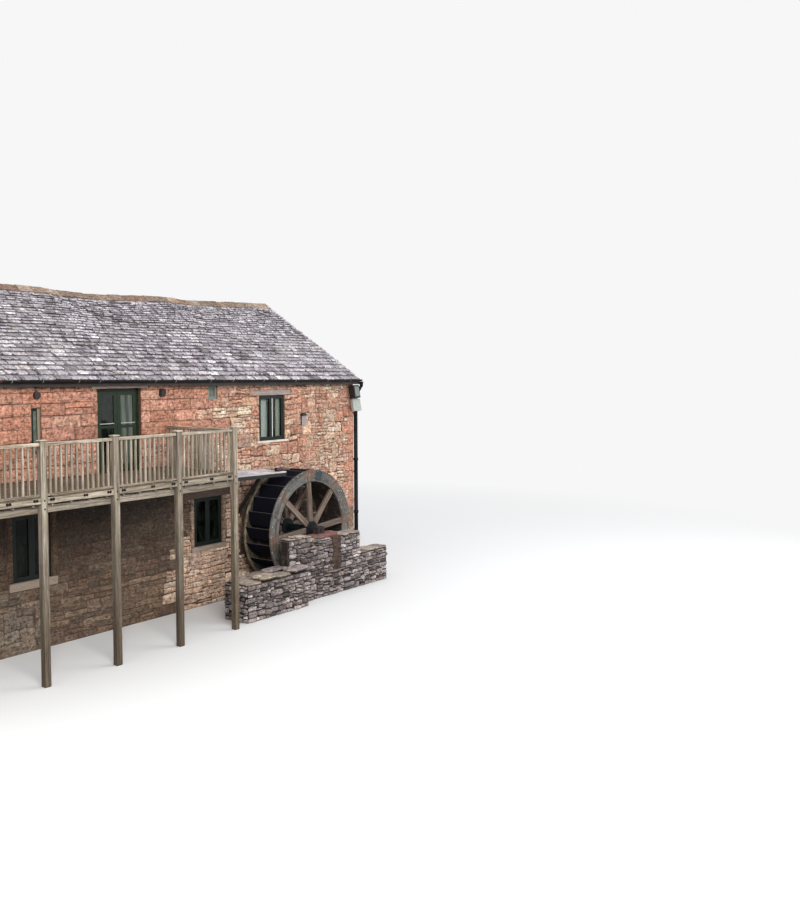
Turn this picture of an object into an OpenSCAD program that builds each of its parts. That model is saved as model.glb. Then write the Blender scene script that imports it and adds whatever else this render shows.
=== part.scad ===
// A stone watermill: a two-storey gabled house with a timber balcony along its
// front and an overshot waterwheel beside it. X runs along the front wall, the
// front faces -Y and Z is up. The origin is under the middle of the ground floor.

/* [House] */
// Length of the house along its front
house_l = 15600; // [15000:18000]
// Depth of the house from front to back
house_w = 8400; // [7600:9200]
// Thickness of the stone walls
wall_t = 550; // [450:650]
// Height of the roof surface at its lower edge, at the left end
eave_z = 6520; // [6450:6800]
// How far the settled eave falls from the left end to the right end
eave_fall = 150; // [0:200]
// Height of the roof surface at the ridge
ridge_z = 9095; // [8600:9600]
// How far the roof passes the front and back walls
eave_out = 200; // [150:300]
// How far the roof passes the gable walls
verge_out = 110; // [80:250]
// Thickness of the roof, measured straight down
roof_t = 160; // [120:220]
// Thickness of the ground floor
ground_floor_t = 150; // [100:250]
// Thickness of the upper floor
upper_floor_t = 220; // [180:260]

/* [Openings] */
// Depth of a window's outer reveal
reveal = 35; // [20:200]
// Depth of the balcony door's outer reveal
door_reveal = 90; // [40:200]
// Thickness of a window's outer frame
frame_t = 70; // [50:90]
// Width of the balcony door opening
door_w = 1360; // [1200:1500]
// Height of the balcony door opening
door_h = 2180; // [2000:2200]
// Distance of the balcony door from the right corner, to its nearer jamb
door_from_right = 8920; // [8600:9200]

/* [Balcony] */
// Height of the balcony floor
deck_z = 4070; // [3900:4100]
// Depth of the balcony from the wall to the front of its posts
deck_d = 2635; // [2300:2800]
// Distance between neighbouring posts
bay = 1838; // [1700:1900]
// Number of bays
bays = 4; // [3:4]
// Distance of the last post's middle from the right corner
last_post = 8040; // [7990:8200]
// Side of a square post
post_w = 150; // [120:170]
// Height of the handrail above the balcony floor
guard_h = 1130; // [1000:1200]
// Number of balusters in a bay
balusters = 12; // [10:14]
// Number of balusters in an end railing
end_balusters = 17; // [14:20]

/* [Waterwheel] */
// Outer radius of the waterwheel
wheel_r = 1790; // [1700:1800]
// Width of the waterwheel
wheel_w = 1080; // [950:1100]
// Distance of the wheel's axle from the right corner
wheel_from_right = 3840; // [3700:3900]
// Height of the axle
axle_z = 1920; // [1900:1980]
// Gap between the house wall and the wheel
wheel_gap = 420; // [300:450]
// Radial width of a rim
rim_w = 350; // [300:380]
// Number of buckets
bucket_n = 24; // [20:28]
// How far the first bucket is turned from the level
bucket_turn = 6; // [0:15]
// Width of a spoke
spoke_w = 180; // [150:180]
// Radius of the round axle
axle_r = 100; // [80:120]
// Radius of the journals at the axle's ends
journal_r = 60; // [45:70]
// Running clearance around a journal
journal_gap = 0.05; // [0.02:0.01:0.08]

/* [Hidden] */

$fn = 64;
stone = "#b08a76";
timber = "#9c8f78";
green = "#3d4f45";
black_iron = "#23262a";

inner_y = house_w / 2 - wall_t;
x_right = house_l / 2;
x_left = -house_l / 2;
y_front = -house_w / 2;
y_back = house_w / 2;
half_run = house_w / 2 + eave_out;
roof_l = house_l + 2 * verge_out;
fall_angle = atan(eave_fall / roof_l);
// Height of the roof's lower edge at a place along the house
function eave_at(x) = eave_z - eave_fall * (x + roof_l / 2) / roof_l;
function slope_at(x) = (ridge_z - eave_at(x)) / half_run;
// Height of the roof's underside at a distance y in front of or behind the ridge line
function under(x, y) = ridge_z - y * slope_at(x) - roof_t;

// A distance measured to the left of the house's right corner
function fr(d) = x_right - d;

lower_foot = 1710;
// Windows of the front, placed by the distance of their left edge from the right corner
upper_window_at = 4510;
upper_window_w = 1120;
upper_window_h = 1390;
// The upper storey's windows hang this far below the eave's lower end
head_drop = 430;
upper_foot = eave_z - eave_fall - head_drop - upper_window_h;
small_window_at = 6540;
small_window_foot = 5880;
small_window_w = 350;
small_window_h = 400;
slit_window_at = 12140;
slit_window_foot = 4720;
slit_window_w = 250;
slit_window_h = 1100;
lower_window_at = 7130;
end_window_at = 12700;
end_window_w = 1040;
end_window_h = 1590;
// Size of the lower window, and of every window of the unseen sides
window_w = 1060;
window_h = 1380;
// Heights of the sills and lintels, and how far a lintel runs past its opening
thin_sill_h = 55;
sill_h = 120;
deep_sill_h = 190;
thin_lintel_h = 150;
lintel_h = 220;
thin_past = 270;
lintel_past = 150;
long_past = 330;
// Windows of the unseen sides: first left edge and spacing along the back, and left
// edge in a gable
back_first = 1700;
back_step = 3700;
back_n = 4;
gable_at = 3670;

// A window is [left edge, foot, width, height, sill height, lintel height, lintel past]
front_windows = [
    [upper_window_at, upper_foot, upper_window_w, upper_window_h,
        thin_sill_h, thin_lintel_h, thin_past],
    [small_window_at, small_window_foot, small_window_w, small_window_h, 0, 0, 0],
    [slit_window_at, slit_window_foot, slit_window_w, slit_window_h, 0, 0, 0],
    [lower_window_at, lower_foot, window_w, window_h, sill_h, lintel_h, long_past],
    [end_window_at, lower_foot, end_window_w, end_window_h, deep_sill_h, lintel_h, lintel_past]];
function plain_windows(columns) = [for (foot = [upper_foot, lower_foot]) for (c = columns)
    [c, foot, window_w, window_h, sill_h, lintel_h, lintel_past]];
front_list = [for (w = front_windows) concat([house_l - w[0]], [for (i = [1:6]) w[i]])];
back_list = plain_windows([for (i = [0 : back_n - 1]) back_first + i * back_step]);
gable_list = plain_windows([gable_at]);

sill_out = 50;
sill_past = 120;
lintel_deep = 250;
slit_min = 400;

// Local frame of a wall: x along the wall from its left end, y into the wall
module on_front() { translate([x_left, y_front, 0]) children(); }
module on_back() { translate([x_right, y_back, 0]) rotate(180) children(); }
module on_left() { translate([x_left, y_back, 0]) rotate(-90) children(); }
module on_right() { translate([x_right, y_front, 0]) rotate(90) children(); }

module window_hole(w) {
    translate([w[0], -1, w[1]]) cube([w[2], wall_t + 2, w[3]]);
}

module sill(w) {
    if (w[4] > 0)
        translate([w[0] - sill_past, -sill_out, w[1] - w[4]])
            cube([w[2] + 2 * sill_past, sill_out + reveal + frame_t, w[4]]);
}

module lintel(w) {
    if (w[5] > 0)
        translate([w[0] - w[6], 0, w[1] + w[3]]) cube([w[2] + 2 * w[6], lintel_deep, w[5]]);
}

module door_lintel() {
    translate([house_l - door_from_right - door_w - 150, 0, deck_z + door_h])
        cube([door_w + 400, lintel_deep, 90]);
}

module frame_of(w) {
    wide = w[2] > slit_min;
    bar = wide ? frame_t : 45;
    sash = wide ? 45 : 25;
    leaves = wide ? 2 : 1;
    leaf_w = (w[2] - bar * (leaves + 1)) / leaves;
    translate([w[0], reveal, w[1]]) difference() {
        cube([w[2], frame_t, w[3]]);
        for (i = [0 : leaves - 1])
            translate([bar + sash + i * (leaf_w + bar), -1, bar + sash])
                cube([leaf_w - 2 * sash, frame_t + 2, w[3] - 2 * (bar + sash)]);
    }
}

module glass_of(w) {
    wide = w[2] > slit_min;
    bar = wide ? frame_t : 45;
    sash = wide ? 45 : 25;
    leaves = wide ? 2 : 1;
    leaf_w = (w[2] - bar * (leaves + 1)) / leaves;
    for (i = [0 : leaves - 1])
        translate([w[0] + bar + sash + i * (leaf_w + bar), reveal + 32, w[1] + bar + sash])
            cube([leaf_w - 2 * sash, 6, w[3] - 2 * (bar + sash)]);
}

// Bearing gap between the walls and the roof that rests on them
wall_seat = 0.6;
gable_seat = 0.9;
// How far a long wall's top falls from end to end, and its height at its outer face
wall_fall = under(x_left, house_w / 2) - under(x_right, house_w / 2);
wall_angle = atan(wall_fall / house_l);
function wall_top(x) = (under(x, house_w / 2) - wall_seat) * cos(wall_angle);

// Long wall: its top follows the underside of the roof; side is 1 in front, -1 behind
module long_wall(list, side) {
    low = wall_top(side > 0 ? x_left : x_right);
    difference() {
        intersection() {
            cube([house_l, wall_t, ridge_z]);
            rotate([0, side * wall_angle, 0]) rotate([90, 0, 90])
                translate([0, 0, -500]) linear_extrude(house_l + 1000)
                    polygon([[0, -1000], [wall_t, -1000],
                        [wall_t, low + wall_t * slope_at(x_left)], [0, low]]);
        }
        for (w = list) {
            window_hole(w);
            sill(w);
            lintel(w);
        }
    }
}

door_x = house_l - door_from_right - door_w;
bearing_h = 240;
bearing_w = 300;
bearing_d = 240;
axle_x = fr(wheel_from_right);

module front_wall() {
    color(stone) difference() {
        on_front() difference() {
            long_wall(front_list, 1);
            translate([door_x, -1, deck_z]) cube([door_w, wall_t + 2, door_h]);
            door_lintel();
        }
        translate([axle_x - bearing_w / 2, y_front - 1, axle_z - bearing_h / 2])
            cube([bearing_w, bearing_d + 1, bearing_h]);
    }
}

module back_wall() { color(stone) on_back() long_wall(back_list, -1); }

module gable_wall(x) {
    inner = house_w - 2 * wall_t;
    rise = under(x, inner_y) - gable_seat;
    peak = ridge_z - roof_t - gable_seat;
    difference() {
        rotate([90, 0, 0]) translate([0, 0, -wall_t]) linear_extrude(wall_t)
            polygon([[wall_t, 0], [wall_t + inner, 0], [wall_t + inner, rise],
                [house_w / 2, peak], [wall_t, rise]]);
        for (w = gable_list) {
            window_hole(w);
            sill(w);
            lintel(w);
        }
    }
}

module left_gable_wall() { color(stone) on_left() gable_wall(x_left + wall_t); }
module right_gable_wall() { color(stone) on_right() gable_wall(x_right); }

module ground_floor() {
    color("#8d867c") translate([x_left + wall_t, y_front + wall_t, 0])
        cube([house_l - 2 * wall_t, house_w - 2 * wall_t, ground_floor_t]);
}

module upper_floor() {
    color("#8a6f4e") translate([x_left + wall_t, y_front + wall_t, deck_z - upper_floor_t])
        cube([house_l - 2 * wall_t, house_w - 2 * wall_t, upper_floor_t]);
}

// Each dip of the old ridge: distance from the right corner, half length, depth
dips = [[3700, 1900, 75], [7800, 2400, 110], [12500, 2200, 60]];
function bump(u) = abs(u) < 1 ? 0.5 + 0.5 * cos(180 * u) : 0;
function ridge_sag(x) = dips[0][2] * bump((x - fr(dips[0][0])) / dips[0][1])
    + dips[1][2] * bump((x - fr(dips[1][0])) / dips[1][1])
    + dips[2][2] * bump((x - fr(dips[2][0])) / dips[2][1]);

roof_steps = 96;
function roof_x(i) = -roof_l / 2 + i * roof_l / roof_steps;
// Points of the front slope at one station: top and underside at the eave, over
// the wall's inner face and at the ridge
function slope_points(x) = [
    [x, -half_run, eave_at(x)], [x, -inner_y, under(x, inner_y) + roof_t],
    [x, 0, ridge_z - ridge_sag(x)], [x, 0, ridge_z - ridge_sag(x) - roof_t],
    [x, -inner_y, under(x, inner_y)], [x, -half_run, eave_at(x) - roof_t]];

// Faces of a solid swept through a row of stations with n points each
function sweep_faces(n, steps) = concat(
    [for (i = [0 : steps - 1]) for (k = [0 : n - 1])
        [i * n + k, (i + 1) * n + k, (i + 1) * n + (k + 1) % n]],
    [for (i = [0 : steps - 1]) for (k = [0 : n - 1])
        [i * n + k, (i + 1) * n + (k + 1) % n, i * n + (k + 1) % n]]);
function cap_faces(n, steps) = concat(
    [[0, 1, n - 2], [0, n - 2, n - 1], [1, 2, 3], [1, 3, 4]],
    [for (f = [[0, n - 2, 1], [0, n - 1, n - 2], [1, 3, 2], [1, 4, 3]])
        [for (k = f) k + steps * n]]);

module roof_slope() {
    polyhedron(points = [for (i = [0 : roof_steps]) for (p = slope_points(roof_x(i))) p],
        faces = concat(sweep_faces(6, roof_steps), cap_faces(6, roof_steps)));
}

module roof_front_slope() { color("#6d6a74") roof_slope(); }
module roof_back_slope() { color("#6d6a74") mirror([0, 1, 0]) roof_slope(); }

ridge_half = 230;
ridge_t = 55;
ridge_side = 40;
ridge_seat = 0.8;
// A ridge tile lies on the slopes, which run straight from the wall's inner face to the ridge
function ridge_drop(x) = ridge_half * (slope_at(x) - ridge_sag(x) / inner_y);
function ridge_points(x) = [for (p = [[-ridge_half, -ridge_drop(x)], [0, 0],
    [ridge_half, -ridge_drop(x)], [ridge_half, ridge_side - ridge_drop(x)], [0, ridge_t],
    [-ridge_half, ridge_side - ridge_drop(x)]])
        [x, p[0], ridge_z + ridge_seat + p[1] - ridge_sag(x)]];

module ridge_tiles() {
    color("#a08068") polyhedron(
        points = [for (i = [0 : roof_steps]) for (p = ridge_points(roof_x(i))) p],
        faces = concat(sweep_faces(6, roof_steps),
            [[0, 1, 4], [0, 4, 5], [1, 2, 3], [1, 3, 4]],
            [for (f = [[0, 4, 1], [0, 5, 4], [1, 3, 2], [1, 4, 3]])
                [for (k = f) k + roof_steps * 6]]));
}

gutter_r = 68;
gutter_t = 4;
gutter_y = half_run + gutter_r + 0.3;
pipe_r = 55;
pipe_x = 90;
pipe_y = 30;
strap_w = 120;
// The gutters run this far past the gable walls, over the downpipes
gutter_past = pipe_x + 20;
neck_drop = 250;
neck_in = 30;
socket_h = 80;
head_h = 170;
strap_z = [1200, 3200, 5200];

// Half-round gutter along an eave, falling with it towards the right end
module gutter() {
    length = house_l + 2 * gutter_past;
    translate([-length / 2, 0, eave_at(-length / 2) + gutter_t]) rotate([0, fall_angle, 0])
        rotate([0, 90, 0]) difference() {
            cylinder(h = length, r = gutter_r);
            translate([0, 0, gutter_t])
                cylinder(h = length - 2 * gutter_t, r = gutter_r - gutter_t);
            translate([-2 * gutter_r, -gutter_r - 1, -1])
                cube([2 * gutter_r, 2 * gutter_r + 2, length + 2]);
        }
}

module gutters() {
    color(black_iron) {
        translate([0, -gutter_y, 0]) gutter();
        translate([0, gutter_y, 0]) gutter();
    }
}

// Downpipe on the right gable wall, with an offset that brings it back from the gutter
module downpipe() {
    foot_y = y_front + pipe_y;
    run = foot_y + gutter_y;
    top = eave_z - eave_fall - gutter_r;
    knee = top - head_h - neck_drop - socket_h;
    rise = neck_drop + socket_h - neck_in;
    translate([x_right + pipe_x, foot_y, 0]) cylinder(h = knee, r = pipe_r);
    translate([x_right + pipe_x, foot_y, knee]) cylinder(h = socket_h, r = pipe_r + 8);
    translate([x_right + pipe_x, foot_y, knee + 2 * neck_in])
        rotate([atan2(run, rise), 0, 0]) cylinder(h = norm([run, rise]), r = pipe_r - 6);
    translate([x_right + pipe_x, foot_y - run, top - head_h]) cylinder(h = head_h, r = pipe_r + 8);
    for (z = strap_z)
        translate([x_right, foot_y - strap_w / 3, z]) cube([pipe_x + 10, strap_w, 50]);
}

module downpipes() {
    color(black_iron) {
        downpipe();
        mirror([0, 1, 0]) downpipe();
    }
}

leaf_gap = 6;
leaf_w = (door_w - 2 * frame_t - 3 * leaf_gap) / 2;
leaf_h = door_h - frame_t - 2 * leaf_gap;
leaf_t = 50;
hinge_h = 100;
hinge_z = [250, 1080, 1850];
stile = 105;
mid_rail = 1180;
foot_rail = 200;

module door_frame() {
    color(green) on_front() translate([door_x, door_reveal, deck_z]) difference() {
        cube([door_w, frame_t, door_h]);
        translate([frame_t, -1, -1]) cube([door_w - 2 * frame_t, frame_t + 2, door_h - frame_t + 1]);
    }
}

// The two panes of one door leaf, below and above its middle rail
leaf_panes = [[foot_rail, mid_rail - 35], [mid_rail + 35, leaf_h - stile]];
function leaf_x(i) = door_x + frame_t + leaf_gap + i * (leaf_w + leaf_gap);

module door_leaves() {
    color(green) on_front() {
        for (i = [0, 1]) translate([leaf_x(i), door_reveal + 8, deck_z + leaf_gap]) difference() {
            cube([leaf_w, leaf_t, leaf_h]);
            for (p = leaf_panes)
                translate([stile, -1, p[0]]) cube([leaf_w - 2 * stile, leaf_t + 2, p[1] - p[0]]);
        }
        for (i = [0, 1]) for (z = hinge_z)
            translate([leaf_x(i) + i * leaf_w - (1 - i) * leaf_gap, door_reveal + 12, deck_z + z])
                cube([leaf_gap, leaf_t - 8, hinge_h]);
    }
}

module window_frames() {
    color(green) {
        on_front() for (w = front_list) frame_of(w);
        on_back() for (w = back_list) frame_of(w);
        on_left() for (w = gable_list) frame_of(w);
        on_right() for (w = gable_list) frame_of(w);
    }
}

module window_glass() {
    color("#a9bcc2") {
        on_front() for (w = front_list) glass_of(w);
        on_back() for (w = back_list) glass_of(w);
        on_left() for (w = gable_list) glass_of(w);
        on_right() for (w = gable_list) glass_of(w);
        on_front() for (i = [0, 1]) for (p = leaf_panes)
            translate([leaf_x(i) + stile, door_reveal + 30, deck_z + leaf_gap + p[0]])
                cube([leaf_w - 2 * stile, 6, p[1] - p[0]]);
    }
}

module window_sills() {
    color("#b7aa9a") {
        on_front() for (w = front_list) sill(w);
        on_back() for (w = back_list) sill(w);
        on_left() for (w = gable_list) sill(w);
        on_right() for (w = gable_list) sill(w);
    }
}

module lintels() {
    color("#7b5a45") {
        on_front() for (w = front_list) lintel(w);
        on_front() door_lintel();
        on_back() for (w = back_list) lintel(w);
        on_left() for (w = gable_list) lintel(w);
        on_right() for (w = gable_list) lintel(w);
    }
}

deck_front = y_front - deck_d;
board_t = 30;
joist_w = 50;
joist_h = 180;
beam_t = 75;
beam_h = 160;
fascia_h = 160;
fascia_t = 40;
fascia_set = 20;
rail_h = 70;
rail_w = 95;
foot_h = 45;
baluster_w = 45;
cap_out = 20;
cap_t = 25;
post_over = 60;
function post_x(i) = fr(last_post) - (bays - i) * bay;
deck_x0 = post_x(0) - post_w / 2;
deck_x1 = post_x(bays) + post_w / 2;
joist_top = deck_z - board_t;
beam_top = joist_top - joist_h;
joist_y0 = deck_front + fascia_set + fascia_t;

module post_holes() {
    for (i = [0 : bays])
        translate([post_x(i) - post_w / 2, deck_front, 0]) cube([post_w, post_w, 2 * deck_z]);
}

module deck_boards() {
    color(timber) difference() {
        translate([deck_x0, deck_front + fascia_set - 10, joist_top])
            cube([deck_x1 - deck_x0, deck_d - fascia_set + 10, board_t]);
        post_holes();
    }
}

// Joists from the ledger on the wall to the fascia, none of them at a post
module deck_joists() {
    color(timber) {
        translate([deck_x0, y_front - joist_w, joist_top - joist_h])
            cube([deck_x1 - deck_x0, joist_w, joist_h]);
        for (i = [0 : bays - 1]) for (k = [0 : 3])
            translate([post_x(i) + (k + 0.5) * bay / 4 - joist_w / 2, joist_y0, joist_top - joist_h])
                cube([joist_w, y_front - joist_w - joist_y0, joist_h]);
    }
}

module deck_beam() {
    color(timber) translate([deck_x0, deck_front + post_w, beam_top - beam_h])
        cube([deck_x1 - deck_x0, beam_t, beam_h]);
}

module deck_fascia() {
    color(timber) for (i = [0 : bays - 1])
        translate([post_x(i) + post_w / 2, deck_front + fascia_set, joist_top - fascia_h + board_t])
            cube([bay - post_w, fascia_t, fascia_h - board_t]);
}

module deck_posts() {
    color(timber) for (i = [0 : bays]) {
        translate([post_x(i) - post_w / 2, deck_front, 0])
            cube([post_w, post_w, deck_z + guard_h + post_over - cap_t]);
        translate([post_x(i) - post_w / 2 - cap_out, deck_front - cap_out,
                deck_z + guard_h + post_over - cap_t])
            cube([post_w + 2 * cap_out, post_w + 2 * cap_out, cap_t]);
    }
}

// Railing panel along +X from the origin, with its foot on the boards
module railing(length, n) {
    gap = (length - n * baluster_w) / (n + 1);
    translate([0, -rail_w / 2, guard_h - rail_h]) cube([length, rail_w, rail_h]);
    translate([0, -rail_w / 2 + 12, 0]) cube([length, rail_w - 24, foot_h]);
    for (i = [0 : n - 1])
        translate([gap + i * (baluster_w + gap), -baluster_w / 2, foot_h])
            cube([baluster_w, baluster_w, guard_h - rail_h - foot_h]);
}

module railing_bay(i) {
    color(timber) translate([post_x(i - 1) + post_w / 2, deck_front + post_w / 2, deck_z])
        railing(bay - post_w, balusters);
}

module railing_bay_1() { railing_bay(1); }
module railing_bay_2() { railing_bay(2); }
module railing_bay_3() { railing_bay(3); }
module railing_bay_4() { railing_bay(4); }

module end_railing(i) {
    color(timber) translate([post_x(i), deck_front + post_w, deck_z]) rotate(90)
        railing(deck_d - post_w, end_balusters);
}

module end_railing_left() { end_railing(0); }
module end_railing_right() { end_railing(bays); }

wheel_back = y_front - wheel_gap;
wheel_front = wheel_back - wheel_w;
rim_t = 60;
rim_in = wheel_r - rim_w;
spoke_t = 90;
spoke_n = 8;
spoke_turn = 4;
hub_r = 240;
hub_t = 140;
boss_r = 130;
boss_t = 40;
sole_t = 25;
riser_h = 135;
plate_t = 20;
lip_in = 10;
lip_turn = 13 * 24 / bucket_n;

// A frame on the wheel's axle: x to the right, y up, and z towards the front
module on_axle(y) { translate([axle_x, y, axle_z]) rotate([90, 0, 0]) children(); }

module ring(outer, inner, h) {
    difference() {
        cylinder(h = h, r = outer, $fn = 96);
        translate([0, 0, -1]) cylinder(h = h + 2, r = inner, $fn = 96);
    }
}

module front_rim() { color("#8d867a") on_axle(wheel_front + rim_t) ring(wheel_r, rim_in, rim_t); }
module rear_rim() { color("#8d867a") on_axle(wheel_back) ring(wheel_r, rim_in, rim_t); }

module spokes() {
    for (i = [0 : spoke_n - 1])
        rotate(spoke_turn + i * 360 / spoke_n) difference() {
            intersection() {
                translate([0, -spoke_w / 2, 0]) cube([wheel_r, spoke_w, spoke_t]);
                translate([0, 0, -1]) cylinder(h = spoke_t + 2, r = rim_in, $fn = 96);
            }
            translate([0, 0, -1]) cylinder(h = spoke_t + 2, r = hub_r, $fn = 96);
        }
}

module front_spokes() { color("#8a8177") on_axle(wheel_front + spoke_t) spokes(); }
module rear_spokes() { color("#8a8177") on_axle(wheel_back) spokes(); }

module hub() {
    difference() {
        union() {
            cylinder(h = hub_t, r = hub_r, $fn = 96);
            translate([0, 0, hub_t]) cylinder(h = boss_t, r = boss_r);
        }
        translate([0, 0, -1]) cylinder(h = hub_t + boss_t + 2, r = axle_r);
    }
}

module wheel_hubs() {
    color("#2f4440") {
        on_axle(wheel_front + (spoke_t + hub_t) / 2) hub();
        on_axle(wheel_back - (spoke_t - hub_t) / 2) hub();
    }
}

hub_front = wheel_front - (hub_t - spoke_t) / 2 - boss_t;
journal_l = 260;
shaft_back = y_front - 40;

module wheel_axle() {
    color("#2f3133") {
        on_axle(shaft_back) cylinder(h = shaft_back - hub_front + 20, r = axle_r);
        on_axle(shaft_back + journal_l) cylinder(h = journal_l, r = journal_r);
        on_axle(hub_front - 20) cylinder(h = journal_l, r = journal_r);
    }
}

module wheel_soles() {
    color("#4b3a2f") on_axle(wheel_back - rim_t)
        ring(rim_in + sole_t, rim_in, wheel_w - 2 * rim_t);
}

// One bucket: a riser on the sole and a plate that leans out to the lip, open towards
// the launder
module bucket() {
    foot = rim_in + sole_t;
    elbow = foot + riser_h;
    lip = (wheel_r - lip_in) * [cos(lip_turn), sin(lip_turn)];
    lean = lip - [elbow, 0];
    along = lean / norm(lean);
    back = [-along[1], along[0]] * plate_t;
    lip_back = lip + back;
    inner = lip_back - along * ((lip_back[1] - plate_t) / along[1]);
    linear_extrude(wheel_w - 2 * rim_t)
        polygon([[foot, 0], [elbow, 0], lip, lip_back, inner, [foot, plate_t]]);
}

module wheel_buckets() {
    color("#22242b") on_axle(wheel_back - rim_t)
        for (i = [0 : bucket_n - 1])
            rotate(bucket_turn + i * 360 / bucket_n) mirror([0, 1, 0]) bucket();
}

launder_head = 7900;
launder_mouth = 4790;
launder_x0 = fr(launder_head);
launder_x1 = fr(launder_mouth);
launder_y0 = wheel_front + 130;
launder_w = 820;
launder_z = 3765;
launder_angle = 1;
launder_side = 40;
side_h = 140;
side_x0 = 2190;
side_x1 = 2480;
arm = 80;
bearer_h = 100;
first_arm = 300;
second_arm = 2350;
strut_offset = 310;
strut_w = 100;
strut_slope = 1.19;

// Frame of the launder: x down its length from its head, y towards the house
module on_launder() {
    translate([launder_x0, launder_y0, launder_z]) rotate([0, launder_angle, 0]) children();
}

// Open trough whose side boards stop short of its mouth
module launder() {
    length = launder_x1 - launder_x0;
    color("#a7a29a") on_launder() {
        cube([length, launder_w, launder_side]);
        for (y = [0, launder_w - launder_side])
            translate([0, y + launder_side, launder_side]) rotate([90, 0, 0])
                linear_extrude(launder_side)
                    polygon([[0, 0], [side_x1, 0], [side_x0, side_h], [0, side_h]]);
    }
}

// Two bearers under the launder, on arms from the house wall, one with a strut below it
module launder_brackets() {
    length = launder_x1 - launder_x0;
    reach = y_front - launder_y0 - 0.3;
    low = bearer_h + (reach - strut_offset) * strut_slope;
    color("#1e2022") on_launder() {
        for (y = [0, launder_w - arm])
            translate([0, y, -bearer_h]) cube([length, arm, bearer_h]);
        for (x = [first_arm, second_arm])
            translate([x, 0, -bearer_h]) cube([arm, reach, bearer_h]);
        translate([second_arm, 0, 0]) rotate([90, 0, 90]) linear_extrude(arm)
            polygon([[strut_offset, 1 - bearer_h], [strut_offset + strut_w, 1 - bearer_h],
                [reach, strut_w - low], [reach, -low]]);
    }
}

pit_back = wheel_front - 90;
pit_t = 510;
pit_front = pit_back - pit_t;
low_t = 860;
low_front = pit_back - low_t;
low_top = 990;
// Distances of the pit's walls, piers and upright stone from the house's right corner
low_left = 7480;
low_right = 5100;
pier_left = 5500;
pier_right = 3630;
slab_right = 3230;
outer_right = 2310;
wall_right = 950;
pier_step_at = 4600;
low_x0 = fr(low_left);
low_x1 = fr(low_right);
pier_x0 = fr(pier_left);
pier_x1 = fr(pier_right);
slab_x1 = fr(slab_right);
outer_x1 = fr(outer_right);
wall_x1 = fr(wall_right);
right_top = 1000;
pier_top = 1670;
pier_rise = 190;
pier_step = fr(pier_step_at);
pier_thin = 300;
outer_top = 1680;
slab_foot = 730;
cap_t_stone = 60;
beam_left = 4350;
beam_l = 1080;
beam_x0 = fr(beam_left);
beam_x1 = beam_x0 + beam_l;
bearer_beam_h = 100;
beam_rest = pier_top + cap_t_stone;

module block(x0, x1, z0, z1, y0 = pit_front, y1 = pit_back) {
    translate([x0, y0, z0]) cube([x1 - x0, y1 - y0, z1 - z0]);
}

// Low wall of the wheel pit, from its left end to its right end
module pit_wall() {
    color("#857b78") union() {
        block(low_x0, low_x1, 0, low_top, low_front);
        block(low_x1, wall_x1, 0, slab_foot);
        block(outer_x1, wall_x1, slab_foot, right_top);
    }
}

// Pier under the front bearing: thinner and higher at its left end
module bearing_pier() {
    color("#857b78") union() {
        block(pier_x0, pier_step, low_top, pier_top + pier_rise, y1 = pit_front + pier_thin);
        block(low_x1, pier_x1, slab_foot, pier_top);
    }
}

module outer_pier() { color("#857b78") block(slab_x1, outer_x1, slab_foot, outer_top); }
module upright_stone() {
    color("#8c6f5c") block(pier_x1, slab_x1, slab_foot, beam_rest, pit_front - 30, pit_back);
}

module bearing_beam() {
    color("#8a5248") block(beam_x0, beam_x1, beam_rest, beam_rest + bearer_beam_h,
        pit_front + 70, pit_back - 60);
}

// Thin slabs that cap the walls and piers, each a little wider than what it covers
module cap_slabs() {
    over = 40;
    color("#b3a697") {
        difference() {
            block(low_x0 - over, low_x1 + over, low_top, low_top + cap_t_stone,
                low_front - over, pit_back);
            block(pier_x0, low_x1 + 2 * over, 0, pier_top, y1 = pit_front + pier_thin);
            block(low_x1, low_x1 + 2 * over, 0, pier_top, y1 = pit_back + 1);
        }
        block(pier_x0 - over, pier_step, pier_top + pier_rise, pier_top + pier_rise + cap_t_stone,
            pit_front - over, pit_front + pier_thin);
        block(low_x1, pier_step, pier_top, beam_rest, pit_front + pier_thin, pit_back);
        block(pier_step, pier_x1, pier_top, beam_rest, pit_front - over, pit_back);
        block(slab_x1, outer_x1 + over, outer_top, outer_top + cap_t_stone, pit_front - over, pit_back);
        block(outer_x1 + over, wall_x1 + over, right_top, right_top + 80, pit_front - over, pit_back);
    }
}

module bearing(depth) {
    difference() {
        translate([-bearing_w / 2, -bearing_h / 2, 0]) cube([bearing_w, bearing_h, depth]);
        translate([0, 0, -1]) cylinder(h = depth + 2, r = journal_r + journal_gap);
    }
}

// The front bearing stands on the beam, the rear one fills a pocket in the house wall
module axle_bearings() {
    front_h = axle_z - beam_rest - bearer_beam_h;
    color("#22302c") {
        on_axle(y_front + bearing_d) bearing(bearing_d);
        on_axle(pit_back - 70) difference() {
            translate([-bearing_w / 2, -front_h, 0]) cube([bearing_w, front_h + 110, 200]);
            translate([0, 0, -1]) cylinder(h = 202, r = journal_r + journal_gap);
        }
    }
}

// Both boxes by the corner lean: their feet stand further out than their heads
lamp_lean = 10;
flood_w = 290;
flood_d = 220;
flood_h = 430;
flood_z = 6150;
bracket_w = 60;
bracket_reach = 110;
bracket_z = 5900;
alarm_w = 410;
alarm_d = 100;
alarm_h = 410;
alarm_z = 5700;
alarm_past = 210;
alarm_off = 40;

module floodlight() {
    color("#3b3d40") {
        translate([x_right - flood_w + bracket_w, y_front - bracket_reach, bracket_z])
            cube([bracket_w, bracket_reach, bracket_w]);
        translate([x_right - flood_w, y_front - 40, flood_z]) rotate([-lamp_lean, 0, 0])
            translate([0, -flood_d, -flood_h]) cube([flood_w, flood_d, flood_h]);
    }
}

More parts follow.
